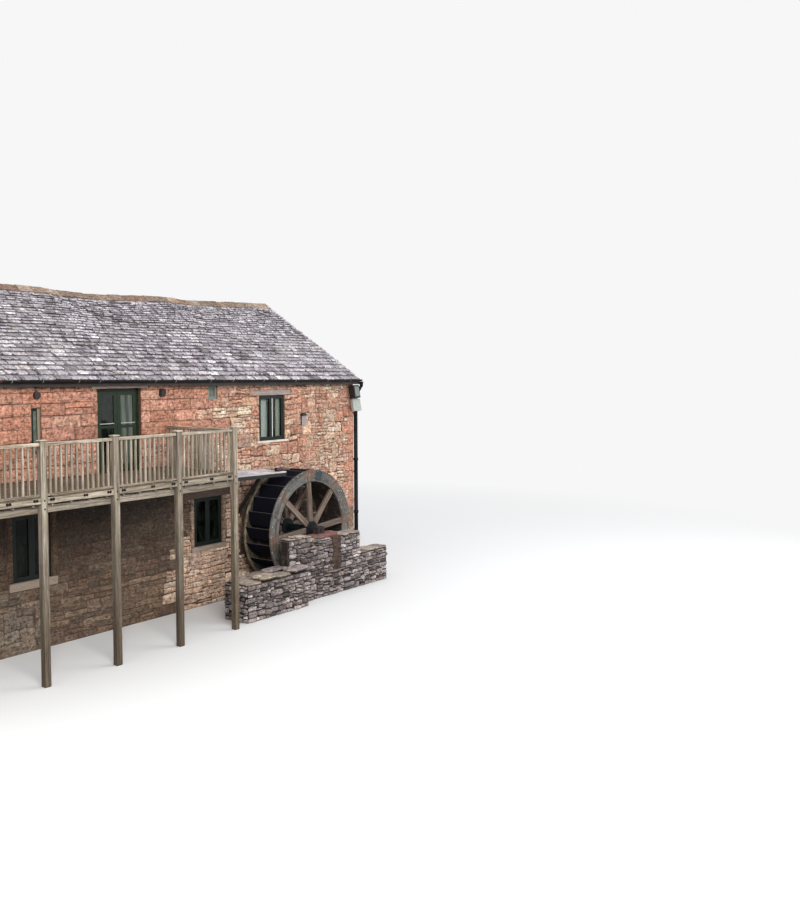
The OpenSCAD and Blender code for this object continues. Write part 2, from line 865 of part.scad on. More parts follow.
module alarm_box() {
    color("#d8d6cf") translate([x_right + alarm_past - alarm_w, y_front - alarm_off, alarm_z]) {
        rotate([-lamp_lean, 0, 0]) translate([0, -alarm_d, -alarm_h])
            cube([alarm_w, alarm_d, alarm_h]);
        translate([bracket_w, -alarm_off - alarm_h / 8, -alarm_h / 2])
            cube([bracket_w, 2 * alarm_off + alarm_h / 8, bracket_w]);
    }
}

round_lamp_at = 12030;
round_lamp_z = 6170;
box_lamp_at = 8200;
box_lamp_z = 6130;
fixture_at = 2600;
fixture_z = 5080;

module lamp() {
    rotate([90, 0, 0]) cylinder(h = 40, r = 50);
    translate([0, -40, -40]) rotate([90, 0, 0]) cylinder(h = 80, r = 85);
}

module wall_lamps() {
    color("#33363a") on_front() {
        translate([house_l - round_lamp_at, 0, round_lamp_z]) lamp();
        translate([house_l - box_lamp_at - 50, -110, box_lamp_z - 60]) cube([100, 110, 120]);
        translate([house_l - fixture_at, -60, fixture_z]) cube([140, 60, 260]);
    }
}

ground_floor();
upper_floor();
front_wall();
back_wall();
left_gable_wall();
right_gable_wall();
roof_front_slope();
roof_back_slope();
ridge_tiles();
gutters();
downpipes();
door_frame();
door_leaves();
window_frames();
window_glass();
window_sills();
lintels();
deck_boards();
deck_joists();
deck_beam();
deck_fascia();
deck_posts();
railing_bay_1();
railing_bay_2();
railing_bay_3();
railing_bay_4();
end_railing_left();
end_railing_right();
wheel_axle();
wheel_hubs();
front_rim();
rear_rim();
front_spokes();
rear_spokes();
wheel_buckets();
wheel_soles();
launder();
launder_brackets();
pit_wall();
bearing_pier();
outer_pier();
upright_stone();
bearing_beam();
axle_bearings();
cap_slabs();
floodlight();
alarm_box();
wall_lamps();
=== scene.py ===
"""Finish, light and camera of a stone watermill. Metres, +Z up, front towards -Y."""
import math
import random

import bpy
import numpy as np
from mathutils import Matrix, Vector, noise


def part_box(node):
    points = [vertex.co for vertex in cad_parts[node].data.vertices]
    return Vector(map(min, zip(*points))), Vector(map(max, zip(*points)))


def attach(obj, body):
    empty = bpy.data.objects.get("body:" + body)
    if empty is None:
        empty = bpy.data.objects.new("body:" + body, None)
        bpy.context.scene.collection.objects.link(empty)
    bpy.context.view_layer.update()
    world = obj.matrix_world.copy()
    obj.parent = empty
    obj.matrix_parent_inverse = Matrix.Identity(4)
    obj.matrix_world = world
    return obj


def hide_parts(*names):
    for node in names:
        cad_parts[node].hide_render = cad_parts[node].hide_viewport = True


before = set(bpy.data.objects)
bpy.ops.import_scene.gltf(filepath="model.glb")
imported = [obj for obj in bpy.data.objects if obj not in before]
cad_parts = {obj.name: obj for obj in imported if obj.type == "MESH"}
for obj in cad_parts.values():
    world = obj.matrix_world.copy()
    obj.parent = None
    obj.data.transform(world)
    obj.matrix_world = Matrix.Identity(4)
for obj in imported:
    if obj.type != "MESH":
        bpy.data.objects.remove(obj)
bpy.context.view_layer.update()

# Sizes of the building, as the frame has them
X, Y, Z = Vector((1, 0, 0)), Vector((0, 1, 0)), Vector((0, 0, 1))
HX, HY = 7.8, 4.2
ROOF_X, ROOF_Y, RIDGE, ROOF_T, INNER = 7.91, 4.4, 9.095, 0.16, 3.65
EAVE_LEFT, EAVE_FALL = 6.52, 0.15
DECK_Z, DECK_Y, POST, BAY = 4.07, -6.835, 0.15, 1.838
POSTS = [HX - 8.04 - (4 - i) * BAY for i in range(5)]
TURN = math.radians(4)
AX, AZ, WHEEL_R, RIM_IN, W_FRONT, W_BACK = 3.96, 1.92, 1.79, 1.44, -5.70, -4.62
LAUNDER_Y, LAUNDER_LONG, LAUNDER_WIDE = -5.57, 3.11, 0.82

# Where the old ridge has sunk, and by how much
SAG = ((-7.92, 0.02), (-6.6, 0.05), (-5.0, 0.055), (-3.6, 0.02), (-2.5, 0.005), (-1.34, 0.022),
       (-0.55, 0.087), (0.2, 0.112), (0.9, 0.108), (1.5, 0.08), (2.2, 0.055), (3.0, 0.034), (3.5, 0.052),
       (4.0, 0.086), (4.7, 0.08), (5.4, 0.07), (6.2, 0.045), (7.05, 0.025), (7.92, 0.008))

# Places on the front of the house: X from and to, Z from and to
DOORWAY = (-2.6, -0.9, 4.0, 6.5)
DOORS = (-2.6, -1.0, 4.0, 6.4)
DOOR_HEAD_SHADOW = (-2.6, -1.0, 6.19, 6.4)
RIGHT_DOOR = (-1.85, -1.1, 4.0, 6.4)
SMALL_WINDOW = (1.15, 1.75, 5.8, 6.4)
SLIT_FRAME = (-4.16, -4.0, 4.7, 5.9)
SLIT_GLASS = (-4.4, -4.0, 4.6, 5.9)
OPEN_GLASS = ((3.2, 3.71, 4.5, 6.0), (4.02, 4.28, 4.5, 6.0))
SHADED_JOINTS = (-0.4, 2.9, -1.0, 3.7)
EAVE_SHADOW = (-7.9, 7.9, 6.375, 6.7)
FRONT_Y, SILL_Y = -3.9, -4.0

PLAIN = (0.5, 0.5, 0.5)


def eave(x):
    """Height of the eave, which falls a little to the right."""
    return EAVE_LEFT - EAVE_FALL * (x + ROOF_X) / (2 * ROOF_X)


def slope(x):
    """How steep the roof is at a place along it."""
    return (RIDGE - eave(x)) / ROOF_Y


def sag(x):
    """How far the old ridge has sunk below its straight line."""
    for (x0, a), (x1, b) in zip(SAG, SAG[1:]):
        if x0 <= x <= x1:
            u = (x - x0) / (x1 - x0)
            return a + (b - a) * u * u * (3 - 2 * u)
    return SAG[-1][1]


def roof_z(x, y):
    """Height of the roof's surface at a distance y from the ridge line."""
    y = abs(y)
    if y >= INNER:
        return RIDGE - y * slope(x)
    return (RIDGE - INNER * slope(x)) * y / INNER + (RIDGE - sag(x)) * (1 - y / INNER)


def ramp(v, a, b):
    """0 at a and before it, 1 at b and past it, even between them."""
    return min(1, max(0, (v - a) / (b - a)))


def uneven(x, y, z=0):
    """Smooth noise between about -1 and 1 at a place."""
    return noise.noise(Vector((x, y, z)))


def rgb(r, g, b):
    """Linear colour of an sRGB colour from 0 to 255."""
    def one(c):
        c /= 255
        return c / 12.92 if c <= 0.04045 else ((c + 0.055) / 1.055) ** 2.4
    return (one(r), one(g), one(b))


def tones(text):
    """Linear colours of hexadecimal sRGB colours."""
    return [rgb(*bytes.fromhex(word)) for word in text.split()]


def dim(colour, k):
    """A colour k times as bright."""
    return tuple(c * k for c in colour)


def vary(rng, colour, value=0.12, hue=0.03):
    """A colour with its brightness and warmth varied."""
    k = 1 + rng.uniform(-value, value)
    w = rng.uniform(-hue, hue)
    return (colour[0] * k * (1 + w), colour[1] * k, colour[2] * k * (1 - w))


# Meshes

def section(w, d, c):
    """Rectangle w by d with its corners cut by c, as eight points."""
    x, y = w / 2, d / 2
    return [(x - c, -y), (x, -y + c), (x, y - c), (x - c, y),
            (-x + c, y), (-x, y - c), (-x, -y + c), (-x + c, -y)]


def circle(n):
    """The angles of n points round a circle."""
    return [2 * math.pi * k / n for k in range(n)]


def add_object(name, data):
    """Puts a mesh, lamp or camera into the scene."""
    made = bpy.data.objects.new(name, data)
    bpy.context.scene.collection.objects.link(made)
    return made


class Build:
    """Collects a piece's vertices and faces, with a tint and a grain position for each vertex."""

    def __init__(self, rng=None):
        self.rng = rng
        self.verts, self.faces, self.tints, self.grain, self.smooth = [], [], [], [], []

    def loft(self, rings, tint=PLAIN, grain=None, smooth=False):
        """Joins rings of equally many points into a closed solid with capped ends."""
        n = len(rings[0])
        last = (len(rings) - 1) * n
        faces = [(a + k, a + (k + 1) % n, a + n + (k + 1) % n, a + n + k)
                 for a in range(0, last, n) for k in range(n)]
        faces += [tuple(reversed(range(n))), tuple(range(last, last + n))]
        first = len(self.verts)
        verts = [p for r in rings for p in r]
        self.verts += verts
        self.faces += [tuple(first + i for i in f) for f in faces]
        self.smooth += [smooth] * len(faces)
        self.tints += [tint] * len(verts)
        self.grain += [p for r in grain for p in r] if grain else verts

    def grain_start(self):
        return Vector([self.rng.uniform(0, 50) for _ in range(3)])

    def bar(self, p0, p1, wide, deep, side, bevel=0.006, segs=1, wobble=0.0, tint=PLAIN, ends=(1, 1)):
        """Squared timber or stone with worn arrises. side is the direction of its width."""
        p0, p1, side = Vector(p0), Vector(p1), Vector(side)
        a = (p1 - p0).normalized()
        s = (side - a * side.dot(a)).normalized()
        n = a.cross(s)
        length = (p1 - p0).length
        e = min(bevel, length / 4)
        spots = [(0.0, 0), (e, 1)] + [(e + (length - 2 * e) * i / segs, 1) for i in range(1, segs)]
        spots += [(length - e, 1), (length, 0)]
        start = self.grain_start()
        rings, grain = [], []
        for t, full in spots:
            k = ends[0] + (ends[1] - ends[0]) * t / length
            w, d = wide * k, deep * k
            cut = min(bevel, w / 3, d / 3)
            pts = section(w, d, cut) if full else section(w - 2 * e, d - 2 * e, cut / 3)
            du, dv = [self.rng.uniform(-wobble, wobble) if 0 < t < length else 0 for _ in range(2)]
            rings.append([p0 + a * t + s * (x + du) + n * (y + dv) for x, y in pts])
            grain.append([start + Vector((t, x, y)) for x, y in pts])
        self.loft(rings, tint, grain)

    def arc(self, y, r0, r1, a0, a1, thick, segs, bevel, tint=PLAIN):
        """Curved bar round the wheel's axle between two radii and two angles, thick along Y."""
        start = self.grain_start()
        rm = (r0 + r1) / 2
        pts = section(r1 - r0, thick, bevel)
        rings, grain = [], []
        for i in range(segs + 1):
            a = a0 + (a1 - a0) * i / segs
            u = Vector((math.cos(a), 0, math.sin(a)))
            base = Vector((AX, y + thick / 2, AZ)) + u * rm
            rings.append([base + u * p + Vector((0, q, 0)) for p, q in pts])
            grain.append([start + Vector((rm * a, p, q)) for p, q in pts])
        self.loft(rings, tint, grain)

    def turned(self, centre, profile, axis, n):
        """Solid of revolution: profile is (distance along the axis, radius) from end to end."""
        rings = []
        for t, r in profile:
            spin = [(r * math.cos(a), r * math.sin(a)) for a in circle(n)]
            rings.append([Vector(centre) + Vector((s, t, c) if axis == "Y" else (c, s, t))
                          for c, s in spin])
        self.loft(rings, smooth=True)

    def bolt(self, p, normal, r, h):
        """Hexagonal bolt head on a washer, standing on p."""
        n = Vector(normal).normalized()
        s = n.orthogonal().normalized()
        t = n.cross(s)
        p = Vector(p)
        for rr, h0, h1, k in ((1.7 * r, -0.002, 0.003, 10), (r, 0.003, h, 6)):
            self.loft([[p + n * z + (s * math.cos(a) + t * math.sin(a)) * q for a in circle(k)]
                       for z, q in ((h0, rr), (h1 - 0.001, rr), (h1, rr * 0.86))])

    def make(self, name, material, slot, replaces=(), body="building"):
        """Makes the piece, puts it on its body and hides what it replaces. slot is not used."""
        mesh = bpy.data.meshes.new(name)
        mesh.from_pydata([tuple(p) for p in self.verts], [], self.faces)
        mesh.materials.append(material)
        mesh.polygons.foreach_set("use_smooth", self.smooth)
        tints = [(*c, 1.0) for c in self.tints]
        grain = [tuple(p) for p in self.grain]
        for key, kind, field, values in (("tint", "FLOAT_COLOR", "color", tints),
                                         ("grain", "FLOAT_VECTOR", "vector", grain)):
            data = mesh.attributes.new(key, kind, "POINT").data
            data.foreach_set(field, np.array(values, "f").ravel())
        mesh.update()
        piece = add_object(name, mesh)
        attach(piece, body)
        if replaces:
            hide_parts(*replaces)


# Materials

class Nodes:
    """A node tree. A value given to it may be a number, a colour or a socket."""

    def __init__(self, tree):
        self.tree = tree

    def join(self, socket, value):
        """Gives a socket a value or links it to another socket."""
        if isinstance(value, bpy.types.NodeSocket):
            self.tree.links.new(value, socket)
        elif socket.type == "RGBA":
            socket.default_value = (*value, 1.0)
        else:
            socket.default_value = value

    def node(self, kind, ins=None, **props):
        """A new node with its settings and what goes into it."""
        made = self.tree.nodes.new(kind)
        for key, value in props.items():
            setattr(made, key, value)
        for key, value in (ins or {}).items():
            self.join(made.inputs[key], value)
        return made

    def math(self, how, a, b=0.0):
        return self.node("ShaderNodeMath", {0: a, 1: b}, operation=how).outputs[0]

    def times(self, a, b):
        return self.math("MULTIPLY", a, b)

    def plus(self, a, b):
        return self.math("ADD", a, b)

    def less(self, a, b):
        return self.math("SUBTRACT", a, b)

    def most(self, a, b):
        return self.math("MAXIMUM", a, b)

    def mix(self, share, a, b, how="MIX"):
        """Colour a with a share of colour b."""
        ins = {0: share, 6: a, 7: b}
        return self.node("ShaderNodeMix", ins, data_type="RGBA", blend_type=how).outputs[2]

    def map(self, value, a, b, lo=0.0, hi=1.0):
        """lo to hi as value goes from a to b."""
        ins = {"Value": value, "From Min": a, "From Max": b, "To Min": lo, "To Max": hi}
        return self.node("ShaderNodeMapRange", ins).outputs["Result"]

    def split(self, vector):
        return self.node("ShaderNodeSeparateXYZ", {"Vector": vector}).outputs

    def seen(self):
        """1 for what the camera sees, straight, in a reflection or through glass, else 0."""
        ray = self.node("ShaderNodeLightPath").outputs
        seen = self.most(ray["Is Camera Ray"], ray["Is Glossy Ray"])
        return self.most(seen, ray["Is Transmission Ray"])


class Mat(Nodes):
    """A procedural material, whose colour col is built up layer by layer."""

    def __init__(self, name, rough):
        self.made = bpy.data.materials.new(name)
        self.made.use_nodes = True
        super().__init__(self.made.node_tree)
        self.out = self.tree.nodes["Principled BSDF"]
        self.at = self.node("ShaderNodeTexCoord").outputs["Object"]
        self.col = None
        self.set("Roughness", rough)

    def set(self, name, value):
        self.join(self.out.inputs[name], value)

    def attr(self, name):
        made = self.node("ShaderNodeAttribute", attribute_name=name)
        return made.outputs["Vector" if name == "grain" else "Color"]

    def noise(self, scale, detail=4.0, rough=0.55, warp=0.0, at=None):
        """Fractal noise from 0 to 1. Three scales stretch it along the axes."""
        at = self.at if at is None else at
        if isinstance(scale, tuple):
            at = self.node("ShaderNodeMapping", {"Vector": at, "Scale": scale}).outputs["Vector"]
            scale = 1.0
        ins = {"Vector": at, "Scale": scale, "Detail": detail, "Roughness": rough, "Distortion": warp}
        return self.node("ShaderNodeTexNoise", ins).outputs["Fac"]

    def between(self, value, lo, hi):
        """1 where a value lies between two others, else 0."""
        return self.times(self.math("GREATER_THAN", value, lo), self.math("LESS_THAN", value, hi))

    def place(self, x0, x1, z0, z1):
        """1 on the front of the house between two pairs of values, else 0."""
        x, y, z = self.split(self.at)
        here = self.times(self.between(x, x0, x1), self.between(z, z0, z1))
        return self.times(self.math("LESS_THAN", y, FRONT_Y), here)

    def lay(self, share, colour):
        self.col = self.mix(share, self.col, colour)

    def cover(self, value, a, b, lo, hi, colour):
        """Lays a colour over the last, lo to hi of it as value goes from a to b."""
        self.lay(self.map(value, a, b, lo, hi), colour)

    def tone(self, value, a, b, lo, hi, colour):
        """Multiplies by a colour, lo to hi of it as value goes from a to b."""
        self.col = self.mix(self.map(value, a, b, lo, hi), self.col, colour, "MULTIPLY")

    def weigh(self, *terms):
        """The sum of values times their weights."""
        total = 0.0
        for value, weight in terms:
            total = self.plus(total, self.times(value, weight))
        return total

    def finish(self, height, relief):
        """Joins the colour and a relief that follows height, and gives the material."""
        bump = self.node("ShaderNodeBump", {"Height": height, "Distance": relief})
        self.set("Normal", bump.outputs["Normal"])
        self.set("Base Color", self.col)
        return self.made


def stone_mat(name, grime, lichen, relief, moss=0.0, pits=0.6, scale=1.0):
    """Weathered stone in each block's own tint: furrows, pits, stains, lichen and fine grain, with painted
    shade in the furrows and pits and painted highlight on the crests.
    """
    m = Mat(name, 0.93)
    grain = m.noise(64, 5, 0.75)
    rough = m.noise(9 * scale, 6, 0.72, 0.3)
    pock = m.noise(14 * scale, 4, 0.66, 0.2)
    beds = m.noise((5, 5, 19 * scale), 5, 0.65, 0.7)
    m.col = m.mix(m.map(rough, 0.35, 0.65), (0.56, 0.5, 0.46), (1.4, 1.39, 1.37))
    m.col = m.mix(1.0, m.attr("tint"), m.col, "MULTIPLY")
    # Painted shade in the furrows and pits and painted highlight on the crests of the rough face.
    m.tone(beds, 0.51, 0.58, 0.0, pits, (0.36, 0.29, 0.25))
    m.tone(pock, 0.36, 0.46, 0.85, 0.0, (0.3, 0.24, 0.21))
    m.tone(pock, 0.54, 0.66, 0.0, 0.8, (1.55, 1.54, 1.52))
    m.tone(grain, 0.3, 0.7, 0.3, 0.0, (0.5, 0.46, 0.43))
    m.tone(m.noise(1.7, 5, 0.62), 0.5, 0.72, 0.0, grime, (0.4, 0.35, 0.32))
    m.cover(m.noise(15 * scale, 8, 0.78), 0.59, 0.67, 0.0, lichen, rgb(226, 214, 192))
    if moss:
        m.cover(m.noise(5, 6, 0.7), 0.5, 0.66, 0.0, moss, rgb(92, 92, 60))
    return m.finish(m.weigh((grain, 0.12), (rough, 1.0), (pock, 0.7), (beds, -0.6)), relief)


def mortar_mat():
    """Lime mortar, dark in most joints as their painted shade, darker still under and beside the
    balcony, also painted shade, and pale where it was pointed again. The sides of the openings are
    stone, darkened in the doorway as painted shade; a dark band under the eave is a painted shadow;
    and inside the house the same walls are old plaster, dark as painted shade of the rooms."""
    m = Mat("lime_mortar", 0.95)
    g = m.noise(40, 6, 0.75)
    x, y, z = m.split(m.at)
    zone = m.most(m.map(x, 0.6, 2.0), m.map(z, 2.4, 1.6))
    old = m.times(m.map(m.noise(1.3, 5, 0.65), 0.53, 0.6), m.map(zone, 0, 1, 0.3, 0.9))
    # Most joints are dark as their painted shade, and under the balcony and low down beside it the mortar is
    # darker still: painted shade.
    low = m.times(m.map(x, 0.6, 0.2), m.map(z, 3.9, 3.6))
    low = m.most(low, m.place(*SHADED_JOINTS))
    dark = m.mix(low, rgb(98, 72, 58), rgb(82, 65, 53))
    m.col = m.mix(old, dark, m.mix(low, rgb(192, 171, 147), rgb(134, 116, 98)))
    m.tone(g, 0.3, 0.75, 0.7, 0.0, (0.5, 0.46, 0.42))
    side = m.mix(m.map(m.noise(18, 5, 0.7), 0.35, 0.65), rgb(112, 78, 62), rgb(172, 130, 108))
    # The doorway's sides are darkened: painted shade in its recess.
    side = m.mix(m.place(*DOORWAY), side, m.mix(0.6, side, rgb(40, 24, 18)))
    # Inside the house the plaster is dark: painted shade of the rooms.
    plaster = m.mix(m.map(g, 0.3, 0.7), rgb(44, 42, 38), rgb(64, 60, 54))

    def nearer(dx, dy):
        return m.times(m.between(x, -dx, dx), m.between(y, -dy, dy))
    m.lay(nearer(HX - 0.005, HY - 0.005), side)
    # Painted shadow under the eave: a dark band at the top of the front.
    m.lay(m.place(*EAVE_SHADOW), rgb(48, 30, 24))
    m.lay(nearer(HX - 0.5, HY - 0.52), plaster)
    return m.finish(m.plus(g, m.noise(12, 4)), 0.01)


def shaded_core_mat():
    """Rough filling behind the stones of a dry wall, nearly black as painted shade in the deep joints."""
    m = Mat("shaded_joint", 0.97)
    g = m.noise(30, 5, 0.7)
    m.col = m.mix(m.map(g, 0.3, 0.7), rgb(20, 17, 16), rgb(52, 46, 42))
    return m.finish(g, 0.02)


def slate_mat():
    """Riven slate: streaks, dirt and lichen, with painted shade under each tail and along its sides.
    The grain position is how far down its bare part a spot is, from 0 at the next tail to 1, how
    far from its middle, and half its width."""
    m = Mat("slate", 0.82)
    down, across, half = m.split(m.attr("grain"))
    side = m.less(half, m.math("ABSOLUTE", across))
    streak = m.noise((20.8, 9.6, 9.6), 6, 0.75, 0.4)
    fine = m.noise(15, 5, 0.7)
    jag = m.less(fine, 0.5)
    m.col = m.mix(m.map(streak, 0.36, 0.66), (0.42, 0.4, 0.42), (1.5, 1.49, 1.5))
    m.col = m.mix(1.0, m.attr("tint"), m.col, "MULTIPLY")
    m.tone(fine, 0.37, 0.48, 0.9, 0.0, (0.26, 0.24, 0.26))
    m.tone(fine, 0.53, 0.62, 0.0, 0.9, (1.7, 1.7, 1.72))
    # Painted shade under the tail of the slate above and along each side.
    m.tone(m.weigh((down, 1.0), (jag, 0.7)), 0.14, 0.38, 0.92, 0.0, (0.14, 0.12, 0.14))
    m.tone(m.weigh((side, 1.0), (jag, 0.04)), 0.008, 0.026, 0.9, 0.0, (0.16, 0.14, 0.16))
    m.cover(m.noise(0.5, 5, 0.65), 0.46, 0.64, 0.0, 0.2, rgb(196, 193, 192))
    m.cover(m.noise(13, 8, 0.82), 0.57, 0.62, 0.0, 0.9, rgb(226, 225, 224))
    m.tone(m.noise((4.5, 1.2, 1.2), 6, 0.68), 0.5, 0.62, 0.0, 0.85, (0.34, 0.31, 0.33))
    m.set("Roughness", m.map(streak, 0.3, 0.7, 0.72, 0.94))
    return m.finish(m.weigh((streak, 1.0), (fine, 0.6)), 0.014)


def wood_mat(name, pale, dark, crack, rough=0.85, stain=None, stain_hi=0.72, relief=0.003,
             green=0.0, foot=0.0, marks_and_shade=None):
    """Sawn timber: the grain position's x runs along each piece. wear adds its own marks, which on some
    pieces are painted light or painted shade, and foot darkens it near the ground."""
    m = Mat(name, rough)
    g = m.attr("grain")
    fibre = m.fibre = m.noise((1.4, 46, 46), 6, 0.7, 0.3, g)
    worn = m.noise((5, 24, 24), 5, 0.72, 0.4, g)
    line = m.map(m.noise((0.9, 70, 70), 2, 0.5, 0.0, g), 0.6, 0.66, 0.0, crack)
    m.col = m.mix(m.map(m.noise((0.8, 13, 13), 4, 0.6, 0.8, g), 0.32, 0.68), dark, pale)
    m.col = m.mix(0.85, m.col, m.attr("tint"), "MULTIPLY")
    m.tone(fibre, 0.36, 0.66, 0.0, 0.9, (0.5, 0.45, 0.41))
    m.tone(worn, 0.54, 0.66, 0.0, 0.5, (1.5, 1.5, 1.5))
    m.tone(worn, 0.34, 0.44, 0.55, 0.0, (0.5, 0.46, 0.43))
    m.col = m.mix(line, m.col, (0.24, 0.2, 0.17), "MULTIPLY")
    if stain:
        m.cover(m.noise(3.2, 6, 0.65), 0.54, stain_hi, 0.0, 0.75, stain)
    if green:
        m.cover(m.noise(2.1, 5, 0.6), 0.5, 0.72, 0.0, green, rgb(112, 112, 78))
    if marks_and_shade:
        marks_and_shade(m)
    if foot:
        m.tone(m.split(m.at)["Z"], 0.9, 3.6, foot, 0.0, (0.26, 0.2, 0.15))
    return m.finish(m.weigh((fibre, 1.0), (line, -1.5)), relief)


def from_axle(m):
    """How far a spot is from the wheel's axle along X and Z."""
    x, _, z = m.split(m.at)
    return m.less(x, AX), m.less(z, AZ)


def rusty_ends(m):
    """Rust where the spokes meet the wheel's front rim, and pale and dark patches all round."""
    dx, dz = from_axle(m)
    turn = m.less(m.math("ARCTAN2", dz, dx), TURN)
    near = m.math("ABSOLUTE", m.math("SINE", m.times(turn, 4.0)))
    near = m.weigh((near, 1.0), (m.less(m.noise(6, 6, 0.7), 0.5), 2.6))
    rust = m.mix(m.map(m.fibre, 0.4, 0.6), rgb(84, 56, 42), rgb(150, 104, 76))
    m.cover(near, 0.0, 0.42, 0.75, 0.0, rust)
    m.cover(m.noise(13, 7, 0.8), 0.58, 0.64, 0.0, 0.7, rgb(190, 188, 180))
    m.tone(m.noise(7, 5, 0.7), 0.4, 0.5, 0.6, 0.0, (0.45, 0.44, 0.44))


def shaded_rear_rim(m):
    """The rear rim is dark but for its outer edge, as painted shade inside the wheel, with dark patches too.
    """
    dx, dz = from_axle(m)
    r = m.math("SQRT", m.plus(m.times(dx, dx), m.times(dz, dz)))
    edge = m.weigh((r, 1.0), (m.less(m.noise(8, 5, 0.7), 0.5), 0.08))
    # Painted shade inside the wheel, within the rim's outer edge.
    m.tone(edge, 1.72, 1.76, 0.95, 0.0, (0.16, 0.15, 0.15))
    m.tone(m.noise(5, 6, 0.75), 0.46, 0.56, 0.8, 0.0, (0.35, 0.34, 0.3))


def painted_top_light(m):
    """Faces that look up are lighter, painted light from above, and those that look down are darker, painted
    shade.
    """
    up = m.split(m.node("ShaderNodeNewGeometry").outputs["Normal"])["Z"]
    m.tone(up, 0.6, 0.95, 0.0, 0.8, (1.5, 1.5, 1.52))
    m.tone(up, -0.3, -0.8, 0.0, 0.7, (0.45, 0.42, 0.4))


def metal_mat(name, colour, rust=0.0, rough=0.5, chips=0.0, dust=0.02, shine=0.3):
    """Painted or bare iron with dust, chips and rust."""
    m = Mat(name, rough)
    m.set("Specular IOR Level", shine)
    a = m.noise(4, 6, 0.65)
    b = m.noise(30, 5, 0.7)
    m.col = m.mix(m.map(b, 0.3, 0.75), colour, tuple(min(1, c * 1.6 + 0.003) for c in colour))
    m.cover(a, 0.5, 0.75, 0.0, 0.35, tuple(c * 0.7 + dust for c in colour))
    if rust:
        r = m.map(m.noise(7, 7, 0.72), 0.62 - 0.25 * rust, 0.72, 0.0, 0.95)
        m.lay(r, m.mix(m.map(b, 0.35, 0.7), rgb(104, 58, 36), rgb(158, 96, 62)))
        m.set("Roughness", m.most(m.map(r, 0, 1, rough, 0.9), rough))
    if chips:
        m.cover(m.noise(26, 4, 0.6), 0.66, 0.7, 0.0, chips, rgb(150, 146, 140))
    return m.finish(m.plus(b, a), 0.0015)


def paint_mat():
    """Old green paint: lighter on the doors, nearly black at their head as a painted shadow under the
    lintel, and grey or cream on the frames of the two narrowest openings."""
    m = Mat("green_paint", 0.55)
    m.set("Specular IOR Level", 0.2)
    b = m.noise(9, 5, 0.6)
    f = m.noise((90, 90, 12), 4, 0.6)
    door = m.place(*DOORS)
    dark = m.mix(door, rgb(8, 14, 11), rgb(18, 29, 17))
    m.col = m.mix(m.map(b, 0.35, 0.7), dark, m.mix(door, rgb(17, 28, 22), rgb(33, 49, 31)))
    m.cover(f, 0.6, 0.72, 0.0, 0.4, rgb(56, 70, 54))
    # Painted shadow under the door's lintel.
    m.lay(m.place(*DOOR_HEAD_SHADOW), rgb(6, 7, 5))
    m.lay(m.place(*SMALL_WINDOW), rgb(112, 120, 118))
    m.lay(m.place(*SLIT_FRAME), rgb(134, 128, 112))
    m.set("Roughness", m.map(b, 0.3, 0.7, 0.45, 0.7))
    return m.finish(f, 0.0012)


def glass_mat():
    """Old window glass: clear before the curtains, frosted in the two narrowest openings of the
    front, and elsewhere opaque, dark and murky, as painted shade of the dark rooms behind it."""
    m = Mat("window_glass", 0.06)
    m.set("Specular IOR Level", 0.08)
    murk = m.map(m.noise((5, 5, 2.4), 5, 0.66, 0.5), 0.42, 0.68)
    clear = m.most(*[m.place(*spot) for spot in OPEN_GLASS])
    frost = m.most(m.place(*SMALL_WINDOW), m.place(*SLIT_GLASS))
    hung = m.map(m.noise((9, 1, 0.5), 4, 0.6), 0.36, 0.64)
    # Opaque dark glass: painted shade of the rooms behind.
    m.col = m.mix(murk, rgb(4, 6, 5), rgb(28, 34, 27))
    m.lay(m.place(*RIGHT_DOOR), m.mix(hung, rgb(34, 43, 36), rgb(90, 99, 88)))
    m.lay(frost, m.mix(m.map(m.noise(12, 4), 0.3, 0.7), rgb(80, 86, 76), rgb(112, 116, 102)))
    m.lay(clear, rgb(30, 42, 36))
    m.set("Alpha", m.map(clear, 0, 1, 1.0, 0.22))
    m.set("Roughness", m.map(frost, 0, 1, 0.06, 0.5))
    return m.finish(m.noise(2.5, 2, 0.5), 0.001)


def cloth_mat(name, colour):
    """Thin woven cloth with a little dirt."""
    m = Mat(name, 0.95)
    weave = m.node("ShaderNodeTexWave", {"Vector": m.at, "Scale": 160.0}).outputs["Fac"]
    m.col = m.mix(m.map(m.noise(6, 4), 0.3, 0.7, 0, 0.4), colour, dim(colour, 0.75))
    m.cover(weave, 0, 1, 0, 0.12, (0.4, 0.4, 0.38))
    m.set("Sheen Weight", 0.2)
    return m.finish(weave, 0.0006)


def plain_stone(name, colour, dark, front=None):
    """Plain stone, or the floors' boards. front lists heights on the front, each with the colour
    that it has above that height."""
    m = Mat(name, 0.9)
    g = m.noise(40, 6, 0.7)
    if front is None:
        w = m.noise(3.5, 6, 0.65)
        m.col = m.mix(m.map(w, 0.35, 0.7), colour, dark)
        m.tone(g, 0.3, 0.8, 0, 0.4, (0.3, 0.27, 0.24))
        return m.finish(m.plus(g, w), 0.006)
    w = m.noise((4, 4, 22), 6, 0.65)
    m.col = colour
    _, y, z = m.split(m.at)
    for height, other in front:
        m.lay(m.times(m.math("GREATER_THAN", z, height), m.math("LESS_THAN", y, SILL_Y)), other)
    m.tone(w, 0.4, 0.65, 0.0, 0.75, dark)
    m.tone(g, 0.3, 0.8, 0, 0.5, (0.4, 0.36, 0.33))
    return m.finish(m.plus(g, w), 0.006)


# Masonry

LEAST_WIDE, LEAST_TALL = 0.045, 0.035  # the smallest piece of a stone that is kept
STEADY = 0.15  # within this of an end or an opening, outlines get even
EAVE_GAP = 0.012
LONG, SHORT, CORNER_TALL, CORNER_OUT = 0.56, 0.3, (0.27, 0.36), 0.01
JAMB_WIDE, JAMB_TALL = (0.13, 0.17), (0.24, 0.36)


